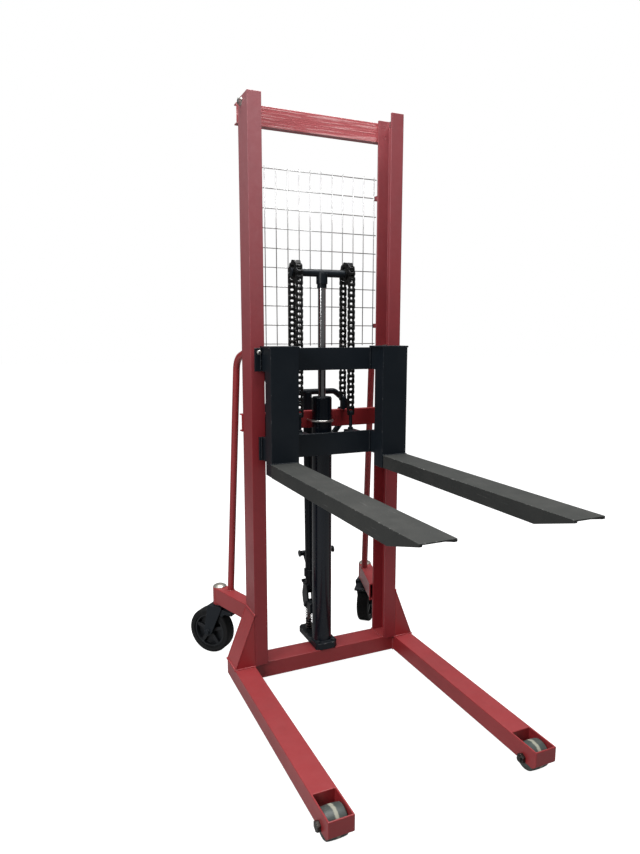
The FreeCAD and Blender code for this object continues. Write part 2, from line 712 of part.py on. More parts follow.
# Chains ------------------------------------------------------------------------------
def chain_plates(inner_face, hole_d):
    """A link's two side plates, pins at y = 0, z = 0 and one pitch below."""
    r = chain_plate_height / 2.0
    plates = []
    for x in (inner_face, -inner_face - chain_plate):
        ends = [rod(V(x, 0, z), V(x + chain_plate, 0, z), 2.0 * r) for z in (0, -chain_pitch)]
        waist = box(x, x + chain_plate, -0.8 * r, 0.8 * r, -chain_pitch, 0)
        plate = ends[0].fuse([ends[1], waist])
        if hole_d > 0:
            plate = plate.cut([rod(V(x - 1, 0, z), V(x + chain_plate + 1, 0, z), hole_d)
                               for z in (0, -chain_pitch)])
        plates.append(plate)
    return plates


def inner_link():
    """Roller link."""
    half = chain_inner_width / 2.0
    hole_d = chain_pin_d + 2 * running_fit
    rollers = [ring(V(-half, 0, z), V(half, 0, z), chain_roller_d, hole_d) for z in (0, -chain_pitch)]
    plates = chain_plates(half, hole_d)
    return plates[0].fuse([plates[1]] + rollers).removeSplitter()


def outer_link():
    """Pin link."""
    face = chain_inner_width / 2.0 + chain_plate + 0.15
    reach = face + chain_plate + 1.0
    pins = [rod(V(-reach, 0, z), V(reach, 0, z), chain_pin_d) for z in (0, -chain_pitch)]
    plates = chain_plates(face, 0)
    return plates[0].fuse([plates[1]] + pins).removeSplitter()


def wrap_pins():
    """Chain joints over the +X sprocket as (y, z), from the front round to the rear strand."""
    step = 2.0 * math.pi / sprocket_teeth
    points = [(cylinder_y - pitch_r * math.cos(k * step), axis_z + pitch_r * math.sin(k * step))
              for k in range(sprocket_teeth // 2 + 1)]
    y, z = points[-1]
    points.append((rear_strand_y, z - math.sqrt(chain_pitch ** 2 - (rear_strand_y - y) ** 2)))
    return points


def front_pins():
    """Joints of the front strand, from the carriage's anchor up to the sprocket."""
    return [(front_strand_y, axis_z - k * chain_pitch) for k in range(front_pitches, -1, -1)]


def rear_pins():
    """Joints of the rear strand, from the sprocket down to the brace's anchor."""
    start = wrap_pins()[-1][1]
    return [(rear_strand_y, start - k * chain_pitch) for k in range(rear_pitches + 1)]


def chain_run(pins, first_link):
    """Links between successive joints of both chains; even links are pin links."""
    kinds = (outer_link(), inner_link())
    links = []
    for k, (start, end) in enumerate(zip(pins, pins[1:])):
        heading = math.degrees(math.atan2(end[1] - start[1], end[0] - start[0]))
        for side in (-1, 1):
            link = kinds[(first_link + k) % 2].copy()
            link.rotate(V(0, 0, 0), V(1, 0, 0), heading + 90.0)
            link.translate(V(side * sprocket_x, start[0], start[1]))
            links.append(link)
    return group(links)


def rear_chain_anchors():
    """Eyes welded on the middle brace for the ends of the chains."""
    y, z = rear_pins()[-1]
    half = chain_inner_width / 2.0
    lug = box(-half, half, y - eye_r, channel_depth + beam_depth - 4.0, brace_top, brace_top + 8.0)
    tongue = box(-half, half, y - eye_r, y + eye_r, brace_top, z)
    eye = rod(V(-half, y, z), V(half, y, z), 2 * eye_r)
    bore = rod(V(-half - 1, y, z), V(half + 1, y, z), chain_pin_d + 2 * running_fit)
    anchor = lug.fuse([tongue, eye]).cut(bore).removeSplitter()
    anchor.translate(V(sprocket_x, 0, 0))
    return group([anchor, mirrored(anchor)])


# Carriage and forks ------------------------------------------------------------------
def carriage_bar(half, bottom, height):
    """Flat bar across the front of the mast."""
    return box(-half, half, bar_front, bar_rear, bottom, bottom + height)


def shank():
    """Channel-section fork shank on the +X side with its spacers and cap."""
    x0 = shank_outer - shank_width
    x1 = shank_outer
    rear = -shank_front + shank_depth
    outer = box(x0, x1, -shank_front, rear, fork_bottom, carriage_top)
    inner = box(x0 + shank_wall, x1 - shank_wall, -shank_front + shank_wall, rear + 1,
                fork_bottom - 1, carriage_top + 1)
    spacers = []
    for low, height in ((fork_top, lower_bar_height), (carriage_top - upper_bar_height, upper_bar_height)):
        spacers.append(box(x0, x1, rear, bar_front, low, low + height))
    cap = box(x0 - cap_lip, x1 + cap_lip, -shank_front, bar_rear, carriage_top,
              carriage_top + cap_plate)
    sole = box(x0, x1, -shank_front, rear, fork_bottom, fork_bottom + shank_wall)
    return outer.cut(inner).fuse(spacers + [cap, sole]).removeSplitter()


def fork():
    """Inverted-channel fork on the +X side, tapered to a lip at its tip."""
    x0 = fork_outer - fork_width
    x1 = fork_outer
    tip = -fork_reach
    outline = [(-shank_front, fork_top), (tip, fork_top), (tip, fork_top - fork_lip),
               (tip + fork_taper, fork_bottom), (-shank_front, fork_bottom)]
    body = prism_x(outline, x0, x1)
    hollow = box(x0 + fork_wall, x1 - fork_wall, tip + fork_wall, -shank_front + 1,
                 fork_bottom - 1, fork_top - fork_wall)
    return body.cut(hollow)


def roller_reach():
    """Radius of a mast roller."""
    return channel_depth / 2.0 - channel_flange_wall - roller_clearance


def roller_inner_x():
    """Inner face of a mast roller."""
    return mast_half - channel_web - roller_width - 4.7


def roller_plates():
    """Plates behind the carriage bars with the stub axles of the mast rollers."""
    x1 = mast_half - channel_flange - 6.0
    x0 = x1 - roller_plate
    y_axis = channel_depth / 2.0
    deep = y_axis + 22.0
    shallow = 14.0
    outline = [(bar_rear, lower_roller_z - 42.0), (deep - 14.0, lower_roller_z - 42.0),
               (deep, lower_roller_z - 26.0), (deep, lower_roller_z + 30.0),
               (shallow, lower_roller_z + 84.0), (shallow, upper_roller_z - 84.0),
               (deep, upper_roller_z - 30.0), (deep, carriage_top - 12.0),
               (bar_rear, carriage_top - 2.0)]
    plate = prism_x(outline, x0, x1)
    pins = []
    for z in (lower_roller_z, upper_roller_z):
        pins.append(rod(V(x1, y_axis, z), V(roller_inner_x() + roller_width, y_axis, z), roller_pin_d))
        pins.append(rod(V(x1, y_axis, z), V(roller_inner_x() - side_play, y_axis, z), roller_pin_d + 12.0))
    plate = plate.fuse(pins).removeSplitter()
    return group([plate, mirrored(plate)])


def mast_roller(z):
    """Roller inside the +X upright."""
    x0 = roller_inner_x()
    y_axis = channel_depth / 2.0
    return ring(V(x0, y_axis, z), V(x0 + roller_width, y_axis, z), 2 * roller_reach(),
                roller_pin_d + 2 * running_fit)


def carriage_bolts():
    """Bolt heads at the upper corners of the carriage."""
    bolt_x = upper_bar_half - 14.0
    z = carriage_top - 14.0
    bolts = []
    for side in (-1, 1):
        washer = rod(V(side * bolt_x, bar_front, z), V(side * bolt_x, bar_front - 2.0, z), 17.0)
        head = hexagon_head(V(side * bolt_x, bar_front - 2.0, z), V(0, -1, 0), 8.0)
        bolts.append(washer.fuse(head))
    return group(bolts)


def front_chain_anchors():
    """Brackets on the lower bar with the studs that the chains pull on."""
    y, z = front_pins()[0]
    plate_top = fork_top + lower_bar_height
    half = chain_inner_width / 2.0
    bracket = box(-20, 20, bar_rear, y + 16.0, plate_top - anchor_plate, plate_top)
    rib = prism_x([(bar_rear, plate_top - anchor_plate), (y - 8.0, plate_top - anchor_plate),
                   (bar_rear, plate_top - 60.0)], -20, -14)
    rib_right = rib.copy()
    rib_right.translate(V(34, 0, 0))
    bracket = bracket.fuse([rib, rib_right])
    stud = rod(V(0, y, plate_top - 34.0), V(0, y, z), anchor_stud_d)
    eye = rod(V(-half, y, z), V(half, y, z), 2 * eye_r)
    bore = rod(V(-half - 1, y, z), V(half + 1, y, z), chain_pin_d + 2 * running_fit)
    nuts = [hexagon_head(V(0, y, plate_top), V(0, 0, 1), anchor_stud_d),
            hexagon_head(V(0, y, plate_top - anchor_plate), V(0, 0, -1), anchor_stud_d)]
    anchor = bracket.fuse([stud, eye] + nuts).cut(bore).removeSplitter()
    anchor.translate(V(sprocket_x, 0, 0))
    return group([anchor, mirrored(anchor)])


# Base block and pump -----------------------------------------------------------------
def base_bolt_points():
    """Bolts of the base block, as (x, y)."""
    return [(-barrel_d / 2.0 + 4.0, crossbeam_front + 13.0), (barrel_d / 2.0 - 4.0, crossbeam_front + 13.0)]


def base_block():
    """Block under the cylinder and the pump, with the pump's own barrel."""
    left = pump_x - 28.0
    right = barrel_d / 2.0 + 11.0
    front = crossbeam_front - 3.0
    rear = plunger_y + 42.0
    low = leg_top
    top = leg_top + base_block_height
    outline = [(left, rear - 12.0), (left, front + 16.0), (left + 16.0, front), (right - 16.0, front),
               (right, front + 16.0), (right, channel_depth + 20.0), (24.0, rear - 30.0), (18.0, rear),
               (left + 12.0, rear)]
    block = prism_z(outline, low, top)
    barrel = rod(V(pump_x, plunger_y, top), V(pump_x, plunger_y, pump_barrel_top), pump_barrel_d)
    bore = rod(V(pump_x, plunger_y, low + 8.0), V(pump_x, plunger_y, pump_barrel_top + 1),
               plunger_d + 2 * running_fit)
    holes = [rod(V(x, y, low - 1), V(x, y, top + 1), frame_bolt_d + 2 * bolt_fit)
             for x, y in base_bolt_points()]
    return block.fuse(barrel).cut([bore] + holes)


def pump_plunger():
    """Plunger with the flange that the spring lifts."""
    stem = rod(V(pump_x, plunger_y, leg_top + 40.0), V(pump_x, plunger_y, spring_top), plunger_d)
    return stem.fuse(rod(V(pump_x, plunger_y, spring_top), V(pump_x, plunger_y, spring_top + 6.0),
                         spring_od + 2.0))


def pump_spring():
    """Return spring between the base block and the plunger's flange."""
    low = leg_top + base_block_height
    radius = (spring_od - spring_wire) / 2.0
    start_z = low + spring_wire / 2.0
    height = spring_top - low - spring_wire
    helix = Part.makeHelix(height / spring_turns, height, radius)
    profile = Part.Wire(Part.makeCircle(spring_wire / 2.0, V(radius, 0, 0), V(0, 1, 0)))
    coil = Part.Wire(helix.Edges).makePipeShell([profile], True, True)
    coil.translate(V(pump_x, plunger_y, start_z))
    return coil


def cheek_outer():
    """Outside of the tiller's cheeks, measured from the middle of the pump."""
    return cheek_gap / 2.0 + cheek_plate


def pump_bracket():
    """Saddle and lugs on the barrel with the tiller's pivot pin."""
    low = pivot_z - 20.0
    high = pivot_z + 20.0
    lug_in = cheek_outer() + side_play
    lug_out = lug_in + lug_plate
    saddle = box(pump_x - lug_out, pump_x + lug_out, cylinder_y + 18.0, barrel_back + 8.0, low, high)
    saddle = saddle.cut(rod(V(0, cylinder_y, low - 1), V(0, cylinder_y, high + 1), barrel_d))
    lugs = []
    for side in (-1, 1):
        x0 = pump_x + side * lug_in
        x1 = pump_x + side * lug_out
        lugs.append(box(x0, x1, barrel_back + 7.0, pivot_y, pivot_z - 12.0, pivot_z + 12.0))
        lugs.append(rod(V(x0, pivot_y, pivot_z), V(x1, pivot_y, pivot_z), 24.0))
    pin = rod(V(pump_x - lug_out - 5.0, pivot_y, pivot_z), V(pump_x + lug_out + 5.0, pivot_y, pivot_z),
              pivot_pin_d)
    return saddle.fuse(lugs + [pin]).removeSplitter()


def roller_axis():
    """Axis of the roller that presses on the plunger."""
    return V(pump_x, plunger_y, spring_top + 6.0 + 9.0 + bolt_fit)


def pump_roller():
    """Roller between the tiller's cheeks."""
    axis = roller_axis()
    half = cheek_gap / 2.0 - side_play
    return ring(axis - V(half, 0, 0), axis + V(half, 0, 0), 18.0, 8.0 + 2 * running_fit)


def stem_point(z):
    """Point on the tiller stem's axis at one height."""
    share = (z - stem_foot_z) / (stem_top_z - stem_foot_z)
    return V(pump_x, stem_foot_y + share * (stem_top_y - stem_foot_y), z)


def tiller():
    """Tiller: cheeks on the pivot, stem and the hand loop."""
    axis = roller_axis()
    outline = [(pivot_y - 12.0, pivot_z), (pivot_y - 8.0, pivot_z - 10.0), (pivot_y + 4.0, pivot_z - 12.0),
               (axis.y + 4.0, axis.z - 7.0), (axis.y + 12.0, axis.z + 4.0), (axis.y + 18.0, 256.0),
               (axis.y + 11.0, 280.0), (axis.y + 4.0, 300.0), (stem_foot_y - 15.0, 300.0),
               (pivot_y - 8.0, pivot_z + 14.0)]
    x_in = cheek_gap / 2.0
    cheeks = [prism_x(outline, pump_x + side * x_in, pump_x + side * cheek_outer()) for side in (-1, 1)]
    bridge = box(pump_x - cheek_outer(), pump_x + cheek_outer(), stem_foot_y - 17.0, axis.y + 5.0,
                 284.0, 300.0)
    hub = rod(V(pump_x - x_in, pivot_y, pivot_z), V(pump_x + x_in, pivot_y, pivot_z), 26.0)
    pin = rod(axis - V(cheek_outer(), 0, 0), axis + V(cheek_outer(), 0, 0), 8.0)
    stem = rod(stem_point(292.0), stem_point(stem_top_z), stem_d)
    bore = rod(V(pump_x - 100, pivot_y, pivot_z), V(pump_x + 100, pivot_y, pivot_z),
               pivot_pin_d + 2 * running_fit)
    pump_part = cheeks[0].fuse([cheeks[1], bridge, hub, pin, stem]).cut(bore)
    return pump_part.fuse(hand_loop()).removeSplitter()


def hand_loop():
    """D-shaped tube round the top of the stem."""
    def at(x, z):
        point = stem_point(z)
        return V(pump_x + x, point.y, z)
    foot = 838.0
    half = [at(0, foot), at(108.0, 884.0), at(158.0, 945.0), at(160.0, 1005.0), at(112.0, stem_top_z),
            at(0, stem_top_z)]
    right = bent_tube(half, 30.0, loop_tube_d)
    other = right.mirror(V(pump_x, 0, 0), V(1, 0, 0))
    return [right, other]


def foot_pedal():
    """Tread bar and arm clamped on the tiller's stem."""
    seat = stem_point(345.0)
    tread = V(pump_x, seat.y + 55.0, 405.0)
    left = V(pump_x - 22.0, tread.y, tread.z)
    right = V(pump_x + 126.0, tread.y, tread.z)
    bar = rod(left, right, 20.0)
    knobs = [rod(left, left + V(5, 0, 0), 26.0), rod(right - V(5, 0, 0), right, 26.0)]
    arm = rod(seat, tread, 14.0)
    band = rod(stem_point(331.0), stem_point(359.0), stem_d + 10.0)
    bore = rod(stem_point(300.0), stem_point(400.0), stem_d)
    return bar.fuse(knobs + [arm, band]).cut(bore).removeSplitter()


def release_pivot():
    """Hinge of the hand lever, behind the stem."""
    return stem_point(925.0) + V(0, stem_d / 2.0 + 23.0, 0)


def rod_top_pin():
    """Joint of the pull rod and the hand lever's crank."""
    return release_pivot() - V(0, release_crank, 0)


def valve_pivot():
    """Hinge of the valve lever on the back of the tiller's cheeks."""
    return V(pump_x, plunger_y + 6.0, 262.0)


def rod_foot_pin():
    """Joint of the pull rod and the valve lever."""
    return valve_pivot() + V(0, valve_crank, 0)


def release_handle():
    """Hand lever under the loop's top bar that lowers the forks."""
    pivot = release_pivot()
    crank_pin = rod_top_pin()
    grip_z = 1002.0
    half = 3.0
    arm = box(pump_x - half, pump_x + half, pivot.y - 6.0, pivot.y + 6.0, pivot.z, grip_z)
    crank = box(pump_x - half, pump_x + half, crank_pin.y - 5.0, pivot.y, pivot.z - 5.0, pivot.z + 5.0)
    grip = rod(V(pump_x - 48.0, pivot.y, grip_z), V(pump_x + 48.0, pivot.y, grip_z), 12.0)
    boss = rod(V(pump_x - half, pivot.y, pivot.z), V(pump_x + half, pivot.y, pivot.z), 14.0)
    link_pin = rod(V(pump_x, crank_pin.y, crank_pin.z), V(pump_x + pull_rod_offset + 4.0, crank_pin.y,
                                                          crank_pin.z), link_pin_d)
    bore = rod(V(pump_x - 9.0, pivot.y, pivot.z), V(pump_x + 9.0, pivot.y, pivot.z),
               hinge_pin_d + 2 * running_fit)
    return arm.fuse([crank, grip, boss, link_pin]).cut(bore).removeSplitter()


def release_bracket():
    """Two ears on the stem with the hand lever's pin."""
    pivot = release_pivot()
    seat = stem_point(pivot.z)
    crank_room = release_crank - 6.0
    ears = []
    for side in (-1, 1):
        x0 = pump_x + side * (3.0 + side_play / 2.0)
        x1 = x0 + side * 4.0
        ears.append(box(x0, x1, seat.y, pivot.y, pivot.z - 7.0, pivot.z + 7.0))
        ears.append(rod(V(x0, pivot.y, pivot.z), V(x1, pivot.y, pivot.z), 14.0))
    notch = box(pump_x, pump_x + 12.0, pivot.y - release_crank - 6.0, pivot.y - crank_room,
                pivot.z - 8.0, pivot.z + 8.0)
    pin = rod(V(pump_x - 9.0, pivot.y, pivot.z), V(pump_x + 9.0, pivot.y, pivot.z), hinge_pin_d)
    stem = rod(stem_point(pivot.z - 30.0), stem_point(pivot.z + 30.0), stem_d)
    return ears[0].fuse(ears[1:] + [pin]).cut([stem, notch])


def valve_lever():
    """Small lever that the pull rod lifts to open the lowering valve."""
    pivot = valve_pivot()
    foot_pin = rod_foot_pin()
    half = cheek_gap / 2.0 - side_play
    hub = rod(pivot - V(half, 0, 0), pivot + V(half, 0, 0), 16.0)
    arm = prism_x([(pivot.y - 4.0, pivot.z + 4.0), (pivot.y + 6.0, pivot.z - 6.0),
                   (foot_pin.y + 4.0, foot_pin.z - 5.0), (pivot.y + 44.0, pivot.z + 24.0),
                   (pivot.y + 38.0, pivot.z + 33.0)], pump_x - 6.0, pump_x + 6.0)
    tip_point = pivot + V(0, 41.0, 29.0)
    tip = rod(tip_point - V(9.0, 0, 0), tip_point + V(9.0, 0, 0), 13.0)
    link_pin = rod(foot_pin, foot_pin + V(pull_rod_offset + 4.0, 0, 0), link_pin_d)
    bore = rod(pivot - V(half + 1, 0, 0), pivot + V(half + 1, 0, 0), hinge_pin_d + 2 * running_fit)
    return hub.fuse([arm, tip, link_pin]).cut(bore).removeSplitter()


def valve_pin():
    """Pin of the valve lever, through both cheeks."""
    pivot = valve_pivot()
    return rod(pivot - V(cheek_outer(), 0, 0), pivot + V(cheek_outer(), 0, 0), hinge_pin_d)


def release_rod():
    """Pull rod with an eye at each end, from the hand lever to the valve lever."""
    low = rod_foot_pin() + V(pull_rod_offset, 0, 0)
    high = rod_top_pin() + V(pull_rod_offset, 0, 0)
    across = V(2.0, 0, 0)
    pieces = [rod(low + V(0, 0, 5.0), high - V(0, 0, 5.0), 6.0)]
    pieces += [rod(point - across, point + across, 14.0) for point in (low, high)]
    bores = [rod(point - across * 2.0, point + across * 2.0, link_pin_d + 2 * link_play)
             for point in (low, high)]
    return pieces[0].fuse(pieces[1:]).cut(bores).removeSplitter()


# Export ------------------------------------------------------------------------------
os.makedirs("parts", exist_ok=True)

save_pair("upright", upright())
save("top_beam", channel_beam(mast_top - top_beam_drop, top_beam_height))
save("middle_brace", middle_brace())
save("frame_bolts", frame_bolts())
save("mesh_guard", mesh_guard())
save("mesh_clips", mesh_clips())
save_pair("leg", leg())
save("toe_axles", toe_axles())
save_pair("toe_roller", toe_roller())
save("lower_crossbeam", lower_crossbeam())
save("gussets", gussets())
save_pair("caster_arm", caster_arm())
save("kingpin_caps", kingpin_caps())
save("push_handles", push_handles())
save_pair("caster_fork", caster_fork())
save_pair("caster_hub", wheel_hub())
save_pair("caster_tyre", wheel_tyre())
save_pair("brake_pedal", brake_pedal())
save("cylinder_barrel", cylinder_barrel())
save("gland_nut", gland_nut())
save("ram_rod", ram_rod())
save("crosshead", crosshead())
save_pair("sprocket", sprocket())
save("barrel_clamp", barrel_clamp())
save("front_chains", chain_run(front_pins(), 0))
save("top_chains", chain_run(wrap_pins(), front_pitches))
save("rear_chains", chain_run(rear_pins(), front_pitches + len(wrap_pins()) - 1))
save("rear_chain_anchors", rear_chain_anchors())
save("carriage_upper_bar", carriage_bar(upper_bar_half, carriage_top - upper_bar_height, upper_bar_height))
save("carriage_lower_bar", carriage_bar(lower_bar_half, fork_top, lower_bar_height))
save_pair("shank", shank())
save_pair("fork", fork())
save("roller_plates", roller_plates())
save_pair("upper_mast_roller", mast_roller(upper_roller_z))
save_pair("lower_mast_roller", mast_roller(lower_roller_z))
save("carriage_bolts", carriage_bolts())
save("front_chain_anchors", front_chain_anchors())
save("base_block", base_block())
save("pump_plunger", pump_plunger())
save("pump_spring", pump_spring())
save("pump_bracket", pump_bracket())
save("pump_roller", pump_roller())
save("tiller", tiller().fuse([release_bracket(), valve_pin()]).removeSplitter())
save("foot_pedal", foot_pedal())
save("release_handle", release_handle())
save("release_rod", release_rod())
save("valve_lever", valve_lever())
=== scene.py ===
"""Looks of a walkie stacker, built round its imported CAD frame.

Metres, +Z up, forks towards -Y, origin at the centre of the machine's footprint on the
floor. Every sub-assembly is a class that makes its own pieces and gives them a finish.
"""
from __future__ import annotations

import json
import logging
import math
from collections.abc import Callable, Sequence
from dataclasses import dataclass, field, replace
from enum import Enum

import bmesh
import bpy
import numpy as np
from mathutils import Matrix, Vector


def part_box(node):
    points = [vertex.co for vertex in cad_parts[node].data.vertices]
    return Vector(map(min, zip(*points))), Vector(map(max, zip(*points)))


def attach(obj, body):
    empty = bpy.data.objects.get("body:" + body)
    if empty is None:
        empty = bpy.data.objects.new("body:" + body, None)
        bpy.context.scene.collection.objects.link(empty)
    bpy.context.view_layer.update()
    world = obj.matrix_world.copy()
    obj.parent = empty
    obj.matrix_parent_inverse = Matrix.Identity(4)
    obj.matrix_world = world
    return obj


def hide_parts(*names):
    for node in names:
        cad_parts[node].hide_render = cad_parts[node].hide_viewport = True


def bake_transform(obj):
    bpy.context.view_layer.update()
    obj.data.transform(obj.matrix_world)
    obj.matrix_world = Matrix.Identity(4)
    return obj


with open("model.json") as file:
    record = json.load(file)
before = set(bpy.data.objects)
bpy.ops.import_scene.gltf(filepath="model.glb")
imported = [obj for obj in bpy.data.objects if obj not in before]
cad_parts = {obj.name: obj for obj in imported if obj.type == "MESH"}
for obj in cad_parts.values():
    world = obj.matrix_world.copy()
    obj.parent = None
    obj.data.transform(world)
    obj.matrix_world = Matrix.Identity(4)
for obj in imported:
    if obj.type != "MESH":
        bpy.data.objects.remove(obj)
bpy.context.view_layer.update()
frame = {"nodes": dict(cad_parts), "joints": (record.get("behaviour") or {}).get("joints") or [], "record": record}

LOG = logging.getLogger("walkie_stacker")
MM = 0.001
EDGE_ATTRIBUTE = "edge"
AXIS_ATTRIBUTE = "axis"
PIN_LINK_ATTRIBUTE = "pin_link"
Colour = tuple[float, float, float]
Point = tuple[float, float, float]


class Side(Enum):
    """Which side of the machine a piece stands on."""

    LEFT = "left"
    RIGHT = "right"

    @property
    def sign(self) -> int:
        """-1 on the left, 1 on the right."""
        return 1 if self is Side.RIGHT else -1


# Node trees ------------------------------------------------------------------------------
class Graph:
    """A node tree that is wired up by socket name."""

    def __init__(self, tree: bpy.types.NodeTree) -> None:
        """Keeps the tree."""
        self.tree = tree

    def feed(self, socket: bpy.types.NodeSocket, value: object) -> None:
        """Gives an input a link or a plain value.

        Args:
            socket: the input.
            value: an output socket, a node whose first output is used, or a plain value.
        """
        if isinstance(value, bpy.types.NodeSocket):
            self.tree.links.new(value, socket)
        elif isinstance(value, bpy.types.Node):
            self.tree.links.new(value.outputs[0], socket)
        else:
            socket.default_value = value

    def add(self, kind: str, inputs: dict | None = None, **settings: object) -> bpy.types.Node:
        """Adds a node.

        Args:
            kind: the node's type name.
            inputs: values or links by input name or index.
            settings: the node's own properties.

        Returns:
            The new node.
        """
        node = self.tree.nodes.new(kind)
        for name, value in settings.items():
            setattr(node, name, value)
        for key, value in (inputs or {}).items():
            self.feed(node.inputs[key], value)
        return node

    def math(self, operation: str, *values: object, clamp: bool = False) -> bpy.types.NodeSocket:
        """A Math node's result.

        Args:
            operation: the Math operation.
            values: its operands.
            clamp: whether the result is held between 0 and 1.

        Returns:
            The output socket.
        """
        node = self.add("ShaderNodeMath", dict(enumerate(values)), operation=operation, use_clamp=clamp)
        return node.outputs[0]

    def noise(self, vector: object, scale: object, detail: float = 3.0,
              roughness: float = 0.55) -> bpy.types.NodeSocket:
        """Noise between 0 and 1.

        Args:
            vector: where the noise is read.
            scale: features per metre.
            detail: octaves.
            roughness: weight of the finer octaves.

        Returns:
            The noise's value.
        """
        node = self.add("ShaderNodeTexNoise", {"Vector": vector, "Scale": scale, "Detail": detail,
                                               "Roughness": roughness})
        return node.outputs["Fac"]

    def ramp(self, value: object, low: object, high: object) -> bpy.types.NodeSocket:
        """A smooth step from 0 at low to 1 at high.

        Args:
            value: what is mapped.
            low: where the step starts.
            high: where the step ends.

        Returns:
            The mapped value.
        """
        node = self.add("ShaderNodeMapRange", {"Value": value, "From Min": low, "From Max": high},
                        interpolation_type="SMOOTHSTEP")
        return node.outputs["Result"]

    def mix(self, factor: object, first: object, second: object) -> bpy.types.NodeSocket:
        """A mix of two colours.

        Args:
            factor: share of the second colour.
            first: a colour or a link.
            second: a colour or a link.

        Returns:
            The mixed colour.
        """
        def four(value: object) -> object:
            """A plain colour with its alpha, and a link as it is."""
            return (*value, 1.0) if isinstance(value, tuple) and len(value) == 3 else value
        node = self.add("ShaderNodeMix", {0: factor, 6: four(first), 7: four(second)}, data_type="RGBA")
        return node.outputs[2]


class Group(Graph):
    """A node group with named inputs and outputs."""

    def __init__(self, name: str, kind: str, inputs: dict[str, tuple[str, object]],
                 outputs: dict[str, str]) -> None:
        """Makes the group's interface.

        Args:
            name: the group's name.
            kind: ShaderNodeTree or GeometryNodeTree.
            inputs: the socket type and default of each named input.
            outputs: the socket type of each named output.
        """
        super().__init__(bpy.data.node_groups.new(name, kind))
        for label, (socket_type, default) in inputs.items():
            socket = self.tree.interface.new_socket(name=label, in_out="INPUT", socket_type=socket_type)
            if default is not None:
                socket.default_value = default
        for label, socket_type in outputs.items():
            self.tree.interface.new_socket(name=label, in_out="OUTPUT", socket_type=socket_type)
        self.source = self.tree.nodes.new("NodeGroupInput").outputs
        self.sink = self.tree.nodes.new("NodeGroupOutput").inputs

    def put(self, **results: object) -> None:
        """Feeds the group's outputs, named with spaces as underscores."""
        for label, value in results.items():
            self.feed(self.sink[label.replace("_", " ")], value)


FLOAT = "NodeSocketFloat"
VECTOR = "NodeSocketVector"
GEOMETRY = "NodeSocketGeometry"


